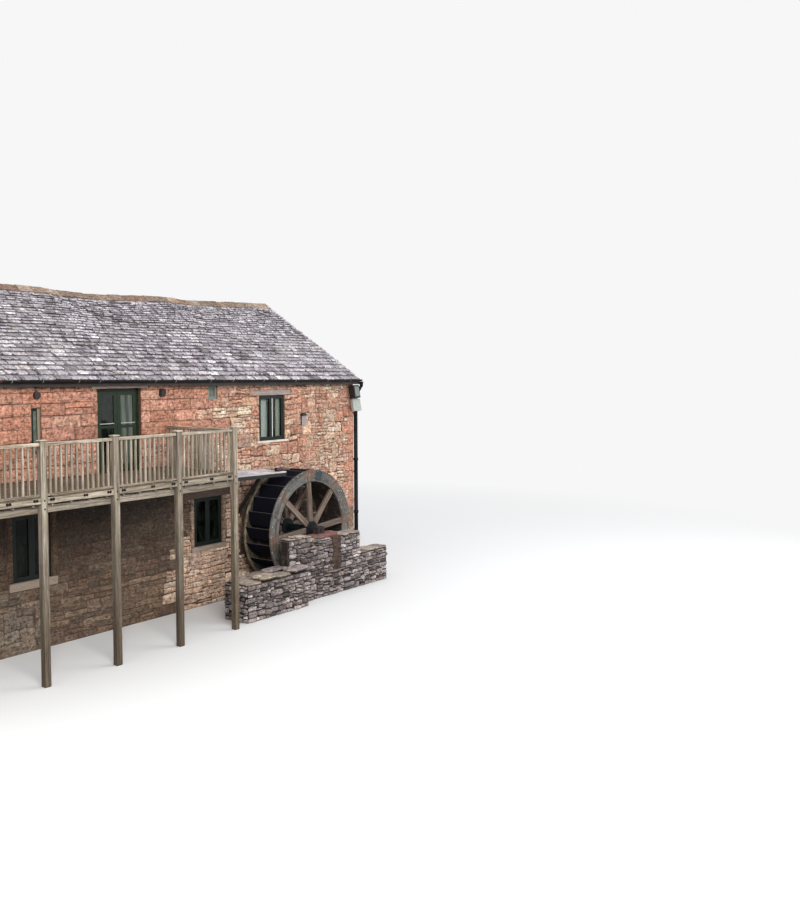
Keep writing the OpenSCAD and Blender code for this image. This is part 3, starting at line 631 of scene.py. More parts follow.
def clip(poly, inside):
    """Clips a polygon to a half plane: inside(p) is its signed distance."""
    out = []
    for i, p in enumerate(poly):
        q = poly[(i + 1) % len(poly)]
        a, b = inside(p), inside(q)
        if a >= 0:
            out.append(p)
        if (a >= 0) != (b >= 0):
            t = a / (a - b)
            out.append((p[0] + (q[0] - p[0]) * t, p[1] + (q[1] - p[1]) * t))
    return out


def carve(rects, hole):
    """Takes a rectangle out of rectangles (u0, u1, z0, z1) and gives what is left."""
    out = []
    a0, a1, b0, b1 = hole
    for u0, u1, z0, z1 in rects:
        if u1 <= a0 or u0 >= a1 or z1 <= b0 or z0 >= b1:
            out.append((u0, u1, z0, z1))
            continue
        m0, m1 = max(u0, a0), min(u1, a1)
        out += [(u0, a0, z0, z1), (a1, u1, z0, z1), (m0, m1, z0, b0), (m0, m1, b1, z1)]
    return [r for r in out if r[1] - r[0] > LEAST_WIDE and r[3] - r[2] > LEAST_TALL]


def rounded(poly, r, n):
    """Rounds each corner of a convex polygon with n points."""
    out = []
    for i in range(len(poly)):
        p = Vector(poly[i])
        a, b = Vector(poly[i - 1]) - p, Vector(poly[(i + 1) % len(poly)]) - p
        a, b = [p + v.normalized() * min(r, v.length * 0.42) for v in (a, b)]
        for j in range(n):
            t = j / (n - 1)
            out.append(tuple(a.lerp(p, t).lerp(p.lerp(b, t), t)))
    return out


def shrink(poly, d):
    """Moves each side of a convex polygon inwards by d."""
    centre = Vector([sum(p[k] for p in poly) / len(poly) for k in (0, 1)])
    out = poly
    for i in range(len(poly)):
        p, q = Vector(poly[i]), Vector(poly[(i + 1) % len(poly)])
        e = q - p
        if e.length < 1e-6:
            continue
        n = Vector((-e.y, e.x)).normalized()
        if n.dot(centre - p) < 0:
            n = -n
        out = clip(out, lambda r: (Vector(r) - p).dot(n) - d)
        if len(out) < 3:
            return []
    return out


class Wall:
    """One face of masonry: origin o, direction u along it, n out of it, z up."""

    def __init__(self, o, u, n):
        self.o, self.u, self.n = Vector(o), Vector(u), Vector(n)

    def at(self, a, z, out):
        p = self.o + self.u * a + self.n * out
        return Vector((p.x, p.y, z))


def block(b, wall, poly, proud, tint, joint, fine=True, bury=0.02, relief=0.006, soft=0.22):
    """One stone whose outline on the wall is poly; its face stands proud of the wall."""
    poly = shrink(poly, joint / 2)
    if len(poly) < 3:
        return
    w, h = [max(p[k] for p in poly) - min(p[k] for p in poly) for k in (0, 1)]
    small = min(w, h)
    if small < 0.02:
        return
    r = small * (soft if fine else 0.14)
    out = rounded(poly, r if joint > 0.009 else min(r, 0.025), 3 if fine else 2)
    cx, cz = [sum(p[k] for p in out) / len(out) for k in (0, 1)]

    def ring(k, depth, rough):
        pts = []
        for u, z in out:
            a, c = cx + (u - cx) * k, cz + (z - cz) * k
            pts.append(wall.at(a, c, depth + uneven(a * 9, c * 9, wall.o.x + wall.o.y) * rough))
        return pts

    k1 = 1 - 2 * min(0.012, small * 0.12) / small
    rings = [ring(1, -bury, 0), ring(1, proud * 0.45, relief * 0.3)]
    if fine:
        rings += [ring(k1, proud, relief), ring(0.55, proud + relief * 0.8, relief * 1.6)]
    else:
        rings += [ring(k1, proud, relief * 0.6)]
    b.loft(rings, tint)


SAND = tones("c4937f be8d79 c89884 b88773 c1907c cca08b bc8a76 b3826f c59581 c08e79")
RUBBLE = tones("c69c87 c09580 d0ac97 ba8e7a c8a692 d4b6a0 b48a76 cca693 c29b87 c89a85 d8c0aa be9e8c")
PALE = tones("d0bba8 c8af9c c4a390 d5c5b4 be9b88 c6a996 ccb29d c09480")
LOW = tones("806c5b 8a7462 766252 947f6c 846a5a 726051")
GREY = tones("928577 887a6c 9c8f81 807265 a29586 8c7a6c")
DRY = tones("9e9799 867f83 b6afb1 70696c cec8c9 948988 8e898f 585255 a8a0a1 7e7371 9e9799 aea7a9")
# Pale pinkish stone for the low front beside the balcony, made paler than the stone as painted light.
PINK = tones("e2c8b4 d6baa6 ead5c2 ccb09d dec1ad d0b4a4")
CREAM = tones("e0d0b8 d4c2aa c8b29c e6dac4 bea08c")
JAMB = tones("a49180 988675 ac9b8a 907c6c")
# Dark brown jamb tints: painted shade for jambs under the balcony.
JAMB_SHADE = tones("5c4a3a 544234 64503f 4e3e31")

# Kinds of walling: widths, the share that is split, into how many rows and parts, colours, the
# share that is tall, how far it stands out, how uneven its outlines are, joints, and relief
STYLE = {
    "ashlar": ((0.44, 0.98), 0.08, (2,), (1, 2), SAND, 0.0, (0.012, 0.03), 0.02, (0.008, 0.018), 0.01),
    "cream": ((0.3, 0.6), 1.0, (2, 3), (1, 2, 2), CREAM, 0.0, (0.006, 0.024), 0.05, (0.008, 0.02), 0.013),
    "rubble": ((0.3, 0.66), 0.74, (2, 2, 3), (1, 2, 2, 3), RUBBLE, 0.2, (0.006, 0.03), 0.06,
               (0.006, 0.02), 0.013),
    "pale": ((0.26, 0.54), 0.85, (2, 3), (1, 2, 2, 3), PALE, 0.14, (0.006, 0.026), 0.065,
             (0.006, 0.018), 0.013),
    "shade": ((0.45, 0.85), 0.05, (2,), (1, 2), LOW, 0.0, (0.006, 0.018), 0.02, (0.005, 0.012), 0.012),
    "pink": ((0.36, 0.8), 0.85, (2, 3), (1, 2, 2), PINK, 0.15, (0.006, 0.026), 0.04, (0.006, 0.018), 0.013),
    "low": ((0.4, 0.9), 0.9, (2, 2, 3), (1, 1, 2), LOW, 0.0, (0.006, 0.022), 0.035, (0.006, 0.016), 0.014),
    "base": ((0.4, 0.9), 0.7, (2, 2), (1, 1, 2), GREY, 0.2, (0.008, 0.034), 0.06, (0.005, 0.014), 0.018),
}
TOP, COURSE = 9.2, (0.25, 0.335)

wall_rng = random.Random(11)
COURSES = [0.0]
while COURSES[-1] < TOP:
    COURSES.append(COURSES[-1] + wall_rng.uniform(*COURSE))


def split_stones(rng, row_counts, part_counts, u, w, a, d):
    """The cells of a stone's place that several smaller stones fill."""
    rows = rng.choice(row_counts)
    marks = [a + (d - a) * (i + rng.uniform(-0.16, 0.16) * (0 < i < rows)) / rows for i in range(rows + 1)]
    cells = []
    for lo, hi in zip(marks, marks[1:]):
        n = rng.choice(part_counts)
        cuts = sorted([0, 1] + [(i + rng.uniform(-0.22, 0.22)) / n for i in range(1, n)])
        cells += [(u + w * cuts[i], u + w * cuts[i + 1], lo, hi) for i in range(n)]
    return cells


def outline(wall, rect, u0, u1, holes, warp):
    """A stone's outline, its corners moved a little but for those beside an end or opening."""
    r0, r1, s0, s1 = rect
    n = 2 if r1 - r0 > 0.3 else 1
    steps = [r0 + (r1 - r0) * i / n for i in range(n + 1)]
    poly = []
    for p, q in [(p, s0) for p in steps] + [(p, s1) for p in reversed(steps)]:
        fade = min(1, (p - u0) / STEADY, (u1 - p) / STEADY, q / STEADY)
        for h0, h1, g0, g1 in holes:
            fade = min(fade, math.hypot(max(h0 - p, p - h1, 0), max(g0 - q, q - g1, 0)) / STEADY)
        fade = max(0, fade) * warp
        k = Vector((p * 3.4, q * 3.4, wall.o.x * 3 + wall.o.y))
        poly.append((p + fade * noise.noise(k), q + fade * noise.noise(k + Vector((7, 3, 5)))))
    return poly


def lay(b, wall, u0, u1, holes, top, zone, fine, painted_shade):
    """Fills a face with courses. zone(u, z) says which style a spot has, and the last argument, if
    given, how much a spot's stones are darkened as painted shade. A tall stone rises into the next course."""
    rng = b.rng
    risen = []
    for c, (a, d) in enumerate(zip(COURSES, COURSES[1:])):
        u = u0 - rng.uniform(0.0, 0.35)
        blocked, risen = risen, []
        while u < u1:
            style = STYLE[zone(u, (a + d) / 2)]
            widths, split, rows, parts, tints, tall, prouds, warp, joints, relief = style
            w = rng.uniform(*widths)
            if u + w > u1 - 0.12:
                w = u1 - u
            if rng.random() < tall and c + 2 < len(COURSES) and d < TOP - 0.6:
                w = min(w, rng.uniform(0.3, 0.55))
                rise = d + (COURSES[c + 2] - d) * rng.uniform(0.3, 0.6)
                cells = [(u, u + w, a, rise)]
                risen.append((u, u + w, d, rise))
            elif rng.random() < split:
                cells = split_stones(rng, rows, parts, u, w, a, d)
            else:
                cells = [(u, u + w, a, d)]
            for p0, p1, q0, q1 in cells:
                rects = [(max(p0, u0), min(p1, u1), q0, min(q1, TOP))]
                if rects[0][1] - rects[0][0] < 0.04 or rects[0][3] - q0 < 0.03:
                    continue
                for hole in holes + blocked:
                    rects = carve(rects, hole)
                tint0 = rng.choice(tints)
                proud0 = rng.uniform(*prouds)
                for rect in rects:
                    poly = outline(wall, rect, u0, u1, holes, warp)
                    poly = clip(poly, lambda p: top(p[0]) - EAVE_GAP - p[1])
                    if len(poly) < 3:
                        continue
                    tint = vary(rng, tint0, 0.13, 0.05)
                    # Stones are darkened where shade falls: painted shade.
                    if painted_shade:
                        tint = dim(tint, painted_shade((rect[0] + rect[1]) / 2, (rect[2] + rect[3]) / 2))
                    proud = proud0 + rng.uniform(-0.003, 0.003)
                    block(b, wall, poly, proud, tint, rng.uniform(*joints), fine, relief=relief, soft=0.16)
            u += w


def front_painted_shade(u, z):
    """How much the front's stones are darkened as painted shade under the balcony, most at the top,
    and on the wall behind the wheel."""
    k = 1.0
    # Painted shade under the balcony, darkest at the top, just below it.
    if z < 4.0:
        k -= 0.84 * ramp(z, 1.3, 3.4) ** 0.62 * (1 - ramp(u, -0.5, 0.5))
        k *= 0.72 + 0.28 * ramp(u, -0.3, 0.9)
    # Painted shade on the wall behind the wheel.
    t = ramp(u, AX, AX + 1.7)
    edge = math.hypot(u - AX - 1.7 * t, z - AZ + 0.38 * t) + 0.2 * uneven(u * 2, z * 3, 9)
    wheel_shade = ramp(edge, 1.9, 1.3)
    return k * (1 - 0.91 * wheel_shade * wheel_shade * (3 - 2 * wheel_shade))


def front_zone(u, z):
    """Which kind of walling the front has at a spot."""
    e = uneven(u * 0.8, z * 1.7, 4)
    if z < 1.5 + 0.5 * e and u < -4.2 + 1.2 * e:
        return "base"
    if z < 4.0 and u < (0.3 if z > 2.0 else -0.5) + 0.5 * e:
        return "shade" if z > 2.2 + 0.8 * e and u < -0.4 else "low"
    if z < 3.9 and u < 2.3 + 0.6 * e:
        return "pink"
    if 1.2 < u < 2.5 and 5.3 < z < 5.56 or 5.7 < u < 6.7 and 6.05 < z < 6.4:
        return "cream"
    if u > 5.9 + 0.8 * e and 4.3 < z < 6.4:
        return "pale"
    if u > 5.2 + 1.6 * e and 3.6 < z < 4.6 or 1.6 < u < 3.2 and 4.4 < z < 4.7 + e:
        return "pale"
    if u > 6.3 + e and z < 4.3:
        return "pink"
    return "rubble" if u > 1.2 + 1.2 * e or z < 3.9 else "ashlar"


def side_zone(_, z):
    """Which kind of walling the other three walls have at a height."""
    return "ashlar" if z > 4.6 else "rubble"


def window(u, z, w, h, sill, lintel, past):
    """Rectangles that a window takes from the masonry round it."""
    out = [(u, u + w, z, z + h)]
    if sill:
        out.append((u - 0.12, u + w + 0.12, z - sill, z))
    if lintel:
        out.append((u - past, u + w + past, z + h, z + h + lintel))
    return out


def jambs(b, wall, opening, tints):
    """Long and short dressed stones up both sides of an opening."""
    rng = b.rng
    u, z, wide, h = opening[:4]
    holes = []
    for side in (-1, 1):
        edge = u if side < 0 else u + wide
        t = z
        i = 0
        while t < z + h - 0.02:
            d = min(rng.uniform(*JAMB_TALL), z + h - t)
            if z + h - t - d < 0.1:
                d = z + h - t
            far = edge + side * JAMB_WIDE[i % 2]
            a = (min(edge, far), max(edge, far))
            poly = [(a[0], t), (a[1], t), (a[1], t + d), (a[0], t + d)]
            proud = rng.uniform(0.016, 0.024)
            block(b, wall, poly, proud, vary(rng, rng.choice(tints), 0.08, 0.03), 0.008, relief=0.003)
            holes.append((*a, t, t + d))
            t += d
            i += 1
    return holes


def corner_stones(rng):
    """Long and short stones up the four corners. Gives the places that they take from the front
    and back, by sy, and from the sides, by sx."""
    b = Build(rng)
    long_holes, side_holes = {-1: [], 1: []}, {-1: [], 1: []}
    for sx in (-1, 1):
        for sy in (-1, 1):
            foot = LOW if sy < 0 else SAND[:len(LOW)]
            top = roof_z(sx * HX, HY) - ROOF_T - 0.03
            z = 0.0
            i = 0
            while z < top - 0.01:
                h = rng.uniform(*CORNER_TALL)
                if z + h > top - 0.12:
                    h = top - z
                lx, ly = (LONG, SHORT) if i % 2 == (0 if sy < 0 else 1) else (SHORT, LONG)
                lx += rng.uniform(-0.06, 0.06)
                ly += rng.uniform(-0.06, 0.06)
                e = CORNER_OUT + rng.uniform(-0.005, 0.006)
                x0, x1, y0, y1 = HX - lx, HX + e, HY - ly, HY + e
                p = Vector((sx * (x0 + x1) / 2, sy * (y0 + y1) / 2, z + 0.004))
                b.bar(p, p + Vector((0, 0, h - 0.008)), x1 - x0, y1 - y0, X, 0.016, 3, 0.003,
                      vary(rng, rng.choice(SAND if z > 2 else foot), 0.12, 0.04))
                for holes, half, deep, right in ((long_holes[sy], HX, lx, sx * sy < 0),
                                                 (side_holes[sx], HY, ly, sx * sy > 0)):
                    span = (half - deep - 0.004, half + 0.1)
                    holes.append((*(span if right else (-span[1], -span[0])), z, z + h))
                z += h
                i += 1
    b.make("corner_stones", stone, "wall_stone")
    return long_holes, side_holes


def masonry(name, wall, half, windows, corners, top, zone=side_zone, fine=False, extra=(), painted_shade=None):
    """The stones of one wall, with dressed ones beside its windows."""
    b = Build(wall_rng)
    holes = list(corners) + list(extra)
    for w in windows:
        holes += window(*w)
    for w in windows:
        if w[5] > 0.16:
            # On the front, jambs left of the middle are under the balcony and take dark tints as painted
            # shade.
            holes += jambs(b, wall, w, JAMB_SHADE if w[0] < 0 and fine else JAMB)
    cuts = (-half, 0.0, half) if fine else (-half, half)
    for i, (u0, u1) in enumerate(zip(cuts, cuts[1:])):
        lay(b, wall, u0, u1, holes, top, zone, fine, painted_shade)
        b.make("%s_%d" % (name, i + 1), stone, "wall_stone")
        b = Build(wall_rng)


def walls():
    """The stones of the four walls. Windows: distance of the left edge from the middle seen from
    outside, foot, width, height, sill, lintel, how far the lintel runs past."""
    plain = (1.06, 1.38, 0.12, 0.22, 0.15)
    front_windows = [(3.29, 4.55, 1.12, 1.39, 0.055, 0.15, 0.27), (1.26, 5.88, 0.35, 0.40, 0, 0, 0),
                     (-4.34, 4.72, 0.25, 1.10, 0, 0, 0), (0.67, 1.71, 1.06, 1.38, 0.12, 0.22, 0.33),
                     (-4.90, 1.71, 1.04, 1.59, 0.19, 0.22, 0.15)]
    back_windows = [(-6.1 + 3.7 * i, z, *plain) for i in range(4) for z in (4.55, 1.71)]
    side_windows = [(-0.53, z, *plain) for z in (4.55, 1.71)]
    door_and_ledger = [(-2.48, -1.12, 4.07, 6.25), (-2.63, -0.87, 6.25, 6.34), (-7.70, -0.13, 3.86, 4.07)]
    long_holes, side_holes = corner_stones(wall_rng)
    masonry("front_stones", Wall((0, -HY, 0), X, -Y), HX, front_windows, long_holes[-1],
            lambda u: roof_z(u, HY) - ROOF_T, front_zone, True, door_and_ledger, front_painted_shade)
    masonry("back_stones", Wall((0, HY, 0), -X, Y), HX, back_windows, long_holes[1],
            lambda u: roof_z(-u, HY) - ROOF_T)
    for name, s in (("left_stones", -1), ("right_stones", 1)):
        masonry(name, Wall((s * HX, 0, 0), s * Y, s * X), HY, side_windows, side_holes[s],
                lambda u: roof_z(s * HX, abs(u)) - ROOF_T)


stone = stone_mat("wall_stone", 0.3, 0.22, 0.022)
walls()


# Roof

SLATE = tones("b4afb4 a8a3a8 bcb7ba a09aa0 afa9ad 989298 c1bdbf aba5ac a4a0a6 b8b3b6")
SLATE_ODD = tones("7a7276 8a8286 a8a09e d4d2d2 e2e1e1")
CLAY = tones("aa9788 9e8a7b b4a394 947f71 a69586 9a897c 987c6c")
COS = 1 / math.hypot(1, 0.586)
TAIL = ROOF_Y / COS + 0.03
VERGE = 0.01
ROWS, LEAST_GAUGE, LAP = 30, 0.125, 1.36
SLATE_WIDE, SLATE_LESS = 0.38, 0.12
TILE_LONG = (0.42, 0.47)

slate = slate_mat()


def on_roof(x, s, h, sign):
    """A point a distance s down the slope from the ridge, h above its surface."""
    y = s * COS
    return Vector((x, sign * y, roof_z(x, y) + h / COS))


def lay_slate(b, sign, x0, x1, tail, head, bare, lift, wave):
    """One slate from head to tail, with a worn lower edge, tilted up by the row below it."""
    rng = b.rng
    wide, mid, n = x1 - x0, (x0 + x1) / 2, 4
    cut = rng.uniform(-0.018, 0.018) + 0.01 * math.sin(x0 * 1.3 + wave)
    tilt = rng.uniform(-0.016, 0.016)
    gap = rng.uniform(0.004, 0.01)
    xs = [x0 + gap + (wide - 2 * gap) * j / n for j in range(n + 1)]
    tails = [tail + cut + tilt * (j / n - 0.5) + rng.uniform(-0.005, 0.005) for j in range(n + 1)]
    tails[0] -= rng.choice((0.0, 0.01, 0.03))
    tails[-1] -= rng.choice((0.0, 0.01, 0.03))
    thick = rng.uniform(0.016, 0.03)
    up = lift + rng.uniform(-0.002, 0.016)
    if tail < 0.5:
        thick, up = 0.012, rng.uniform(0.01, 0.014)
    tint = vary(rng, rng.choice(SLATE_ODD if rng.random() < 0.12 else SLATE), 0.26, 0.015)
    bare *= 1 - rng.uniform(-0.05, 0.1)
    edge = list(zip(xs, tails)) + [(xs[-1], head), (xs[0], head)]

    def ring(extra, inset):
        pts = []
        for xx, s in edge:
            f = (s - head) / (tail - head)
            pts.append(on_roof(mid + (xx - mid) * (1 - inset / wide), s - inset * f,
                               up * f + extra * (0.5 + 0.5 * f), sign))
        return pts
    rings = [ring(0, 0), ring(thick * 0.7, 0), ring(thick, 0.007)]
    if sign > 0:
        rings.reverse()
    b.loft(rings, tint, [[Vector((1 - (tail - s) / bare, xx - mid, wide / 2)) for xx, s in edge]] * 3)


def slates(name, sign):
    """Rows of slates from the eave up; the rows get narrower and their slates smaller."""
    rng = random.Random(31 + sign)
    b = Build(rng)
    gauges = [LEAST_GAUGE + LEAST_GAUGE * (1 - k / (ROWS - 1)) ** 1.5 for k in range(ROWS)]
    scale = (TAIL - 0.07) / sum(gauges)
    tail = TAIL
    for k, gauge in enumerate(gauges):
        g = gauge * scale
        head = max(0.03, tail - g * LAP)
        wide = SLATE_WIDE - SLATE_LESS * k / ROWS
        x = -ROOF_X - VERGE - rng.uniform(0.0, 0.3)
        wave = rng.uniform(0, 9)
        while x < ROOF_X:
            w = wide * rng.uniform(0.66, 1.36)
            if x + w > ROOF_X - 0.12:
                w = ROOF_X + VERGE - x
            x0, x1 = max(x, -ROOF_X - VERGE), x + w
            x += w
            if x1 - x0 >= 0.06:
                lay_slate(b, sign, x0, x1, tail, head, g, 0.028 if k else 0.014, wave)
        tail -= g
    b.make(name, slate, "slate")


def ridge_tile(b, x, w):
    """One ridge tile from x, w long, whose two wings follow the slopes."""
    rng = b.rng
    tint = vary(rng, rng.choice(CLAY), 0.12, 0.04)
    dz, dy = rng.uniform(-0.01, 0.01), rng.uniform(-0.012, 0.012)
    roll = rng.uniform(-0.012, 0.012)
    wing = [(0.035, 0.054), (0.1, 0.056), (0.2, 0.054), (0.31, 0.05)]
    across = [(-y, h) for y, h in reversed(wing)] + [(0.0, 0.046)] + wing
    rings = []
    for t in (0.006, 0.02, w / 3, w * 2 / 3, w - 0.02, w - 0.006):
        xx = x + t
        edge = 0.0 if 0.01 < t < w - 0.01 else 0.012
        outer = [(y, h - edge + 0.008 * uneven(xx * 7, y * 9)) for y, h in across]
        inner = [(y * (0.98 if abs(y) > 0.2 else 0.9), h - 0.024 + edge * 0.5) for y, h in reversed(outer)]
        rings.append([Vector((xx, y + dy, roof_z(xx, abs(y + dy)) + h + dz + roll * (t - w / 2) / w))
                      for y, h in outer + inner])
    b.loft(rings, tint)


def ridge():
    """Clay ridge tiles on a bed of mortar that is nearly black, a painted shadow under them."""
    b, bed = Build(random.Random(5)), Build()
    x = -ROOF_X - 0.005
    while x < ROOF_X - 0.05:
        w = min(b.rng.uniform(*TILE_LONG), ROOF_X + 0.005 - x)
        if ROOF_X - x - w < 0.2:
            w = ROOF_X + 0.005 - x
        ridge_tile(b, x, w)
        x += w
    n = 120
    for sy in (-1, 1):
        rings = []
        for i in range(n + 1):
            xx = -ROOF_X + 2 * ROOF_X * i / n
            e = uneven(xx * 6, sy) * 0.012
            o = 0.3 + e
            base = [(0.06, 0.0), (o, 0.0), (o, 0.02 + e * 0.3), (o - 0.02, 0.022), (0.06, 0.024)]
            rings.append([Vector((xx, sy * y, roof_z(xx, y) + h)) for y, h in base][::sy])
        bed.loft(rings)
    clay = stone_mat("ridge_clay", 0.3, 0.7, 0.03, 0.2, 0.6, 1.1)
    b.make("ridge_clay_tiles", clay, "ridge_clay", ("ridge_tiles",))
    # The bed uses the nearly black filling: a painted shadow line under the tiles.
    bed.make("ridge_bedding", shaded_core_mat(), "ridge_clay")


def roof_deck(side, sign):
    """The slope under the slates, which follows the sagging ridge."""
    deck, rings, n = Build(), [], 96
    for i in range(n + 1):
        x = -ROOF_X + 2 * ROOF_X * i / n
        rings.append([Vector((x, sign * y, roof_z(x, y) - t))
                      for t, ys in ((0.0, (ROOF_Y, INNER, 0.0)), (ROOF_T, (0.0, INNER, ROOF_Y)))
                      for y in ys][::-sign])
    deck.loft(rings)
    deck.make("roof_deck_" + side, under_slate, "slate", ("roof_%s_slope" % side,))


slates("front_slates", -1)
slates("back_slates", 1)
ridge()
under_slate = plain_stone("under_slate", rgb(62, 56, 54), rgb(38, 35, 35))
roof_deck("front", -1)
roof_deck("back", 1)


# Timber

BOARDS = [(v, v * 0.99, v * 0.96) for v in (0.74, 0.84, 0.94, 0.66, 1.02)]
DARK_BOARD, BEAM_BOARD, FASCIA_BOARD, PALE_CAP, PALE_RAIL = 0.8, 0.95, 0.92, 1.25, 1.45
RAIL_TOP, RAIL_WIDE, RAIL_DEEP, BALUSTER = 1.13, 0.095, 0.07, 0.045
BOARD_COUNT, BOARD_T, BOARD_GAP = 50, 0.03, 0.006
JOIST_Z, JOIST_WIDE, JOIST_DEEP = 3.95, 0.05, 0.18

deck_wood = wood_mat("deck_wood", rgb(206, 197, 184), rgb(130, 119, 104), 0.9, 0.9, rgb(108, 94, 74),
                     0.74, 0.004, 0.22, 0.85, painted_top_light)
board_wood = wood_mat("board_wood", rgb(132, 114, 94), rgb(92, 76, 60), 0.85, 0.9, rgb(86, 74, 54),
                      0.74, 0.004, 0.3)
iron = metal_mat("black_iron", rgb(25, 24, 26), 0.1, 0.65, dust=0.003, shine=0.12)


def shade(rng, k=1.0):
    """The tint of one board, k times as light as most."""
    return vary(rng, dim(rng.choice(BOARDS), k), 0.06, 0.02)


def deck_piece(b, name, replaced):
    """One piece of the balcony's timber."""
    b.make("balcony_" + name, deck_wood, "deck_wood", (replaced,))


def balcony_boards(rng):
    """Floor boards, cut short where they meet a post."""
    b = Build(rng)
    start, end = POSTS[0] - POST / 2, POSTS[-1] + POST / 2
    pitch = (end - start) / BOARD_COUNT
    z = DECK_Z - BOARD_T / 2
    for i in range(BOARD_COUNT):
        a = start + i * pitch + BOARD_GAP / 2
        c = a + pitch - BOARD_GAP
        y = DECK_Y + rng.uniform(-0.004, 0.012)
        if any(a < p + POST / 2 and c > p - POST / 2 for p in POSTS):
            y = DECK_Y + POST + 0.004
        x = (a + c) / 2
        b.bar((x, y, z), (x, -HY - 0.002, z), c - a, BOARD_T, X, 0.004, 3, 0.001, shade(rng))
    b.make("balcony_boards", board_wood, "deck_wood", ("deck_boards",))


def balcony_joists(rng):
    """A ledger on the wall and four joists to each bay."""
    b = Build(rng)
    z = JOIST_Z
    start, end = POSTS[0] - POST / 2, POSTS[-1] + POST / 2
    y = -HY - JOIST_WIDE / 2
    b.bar((start, y, z), (end, y, z), JOIST_WIDE, JOIST_DEEP, Y, 0.004, 6, 0.001, shade(rng, DARK_BOARD))
    for i in range(4):
        for k in range(4):
            x = POSTS[i] + (k + 0.5) * BAY / 4
            b.bar((x, DECK_Y + 0.06, z), (x, -HY - JOIST_WIDE, z), JOIST_WIDE, JOIST_DEEP, X, 0.004, 4,
                  0.001, shade(rng, DARK_BOARD))
    deck_piece(b, "joists", "deck_joists")


def balcony_front(rng):
    """The beam behind the posts and the bolted fascia between them."""
    b = Build(rng)
    y, z = DECK_Y + POST + 0.0375, 3.78
    for i in range(4):
        x0 = POSTS[0] - POST / 2 if i == 0 else POSTS[i] + 0.004
        x1 = POSTS[-1] + POST / 2 if i == 3 else POSTS[i + 1] - 0.004
        b.bar((x0, y, z), (x1, y, z), 0.075, 0.16, Y, 0.006, 6, 0.002, shade(rng, BEAM_BOARD))
    deck_piece(b, "beam", "deck_beam")
    b, bolts = Build(rng), Build()
    y, z = DECK_Y + 0.04, 3.975
    for i in range(4):
        x0, x1 = POSTS[i] + POST / 2 + 0.001, POSTS[i + 1] - POST / 2 - 0.001
        b.bar((x0, y, z), (x1, y, z), 0.04, 0.13, Y, 0.005, 6, 0.0015, shade(rng, FASCIA_BOARD))
        for x in (x0 + 0.12, x0 + 0.95, x1 - 0.12):
            for dx in (-0.03, 0.03):
                bolts.bolt((x + dx, DECK_Y + 0.0195, 3.99), -Y, 0.02, 0.016)
    deck_piece(b, "fascia", "deck_fascia")
    return bolts


def balcony_posts(rng, bolts):
    """Five posts with caps, each bolted twice."""
    b = Build(rng)
    y = DECK_Y + POST / 2
    top = 5.235
    for p in POSTS:
        b.bar((p, y, 0), (p, y, top), POST, POST, X, 0.009, 10, 0.0015, shade(rng, DARK_BOARD))
        cap = shade(rng, PALE_CAP)
        b.loft([[Vector((p + u, y + v, z)) for u, v in section(s, s, e)]
                for z, s, e in ((top, 0.19, 0.003), (5.239, 0.19, 0.006), (5.252, 0.19, 0.006),
                                (5.262, 0.13, 0.01))], cap)
        for z in (3.80, 3.98):
            bolts.bolt((p, DECK_Y - 0.0005, z), -Y, 0.012, 0.01)
    deck_piece(b, "posts", "deck_posts")
    bolts.make("balcony_bolts", iron, "black_iron")


def railing(rng, name, p0, p1, n):
    """One length of railing on the deck from p0 to p1, with n balusters."""
    b = Build(rng)
    p0, p1 = Vector((*p0, DECK_Z)), Vector((*p1, DECK_Z))
    along = (p1 - p0).normalized()
    side = along.cross(Z)
    top, foot = Z * (RAIL_TOP - RAIL_DEEP / 2), Z * (BALUSTER / 2)
    b.bar(p0 + top, p1 + top, RAIL_WIDE, RAIL_DEEP, side, 0.008, 6, 0.0015, shade(rng, PALE_RAIL))
    b.bar(p0 + foot, p1 + foot, 0.071, BALUSTER, side, 0.005, 5, 0.001, shade(rng))
    gap = ((p1 - p0).length - n * BALUSTER) / (n + 1)
    for i in range(n):
        c = p0 + along * (gap + i * (BALUSTER + gap) + BALUSTER / 2)
        j = along * rng.uniform(-0.003, 0.003)
        b.bar(c + Z * 0.044, c + j + Z * 1.062, BALUSTER, BALUSTER, along, 0.004, 2, 0.0012, shade(rng))
    deck_piece(b, name, name)


def balcony():
    """The whole balcony from one row of random numbers."""
    rng = random.Random(21)
    balcony_boards(rng)
    balcony_joists(rng)
    balcony_posts(rng, balcony_front(rng))
    y = DECK_Y + POST / 2
    for i in range(4):
        railing(rng, "railing_bay_%d" % (i + 1), (POSTS[i] + POST / 2, y), (POSTS[i + 1] - POST / 2, y), 12)
    for name, x in (("end_railing_left", POSTS[0]), ("end_railing_right", POSTS[4])):
        railing(rng, name, (x, DECK_Y + POST), (x, -HY - 0.002), 17)


balcony()


# Waterwheel

wheel_wood = wood_mat("wheel_wood", rgb(133, 132, 131), rgb(74, 73, 74), 0.85, 0.9, rgb(110, 82, 62),
                      0.7, 0.01, 0.12, marks_and_shade=rusty_ends)
rear_wood = wood_mat("rear_rim_wood", rgb(182, 176, 156), rgb(120, 112, 92), 0.6, 0.9, rgb(96, 84, 58),
                     0.76, 0.006, 0.2, marks_and_shade=shaded_rear_rim)
spoke_wood = wood_mat("spoke_wood", rgb(148, 136, 128), rgb(92, 78, 71), 0.9, 0.88, rgb(96, 70, 56),
                      0.66, 0.008)
sole_wood = wood_mat("sole_wood", rgb(58, 46, 39), rgb(26, 20, 17), 0.7, 0.85, rgb(108, 94, 82), 0.68)
bucket_iron = metal_mat("bucket_iron", rgb(13, 14, 23), 0.0, 0.8, 0.15, 0.0005, 0.06)
lip_metal = metal_mat("worn_lip", rgb(78, 76, 80), 0.1, 0.7)
rusty = metal_mat("rusty_plate", rgb(92, 84, 76), 0.35, 0.85)
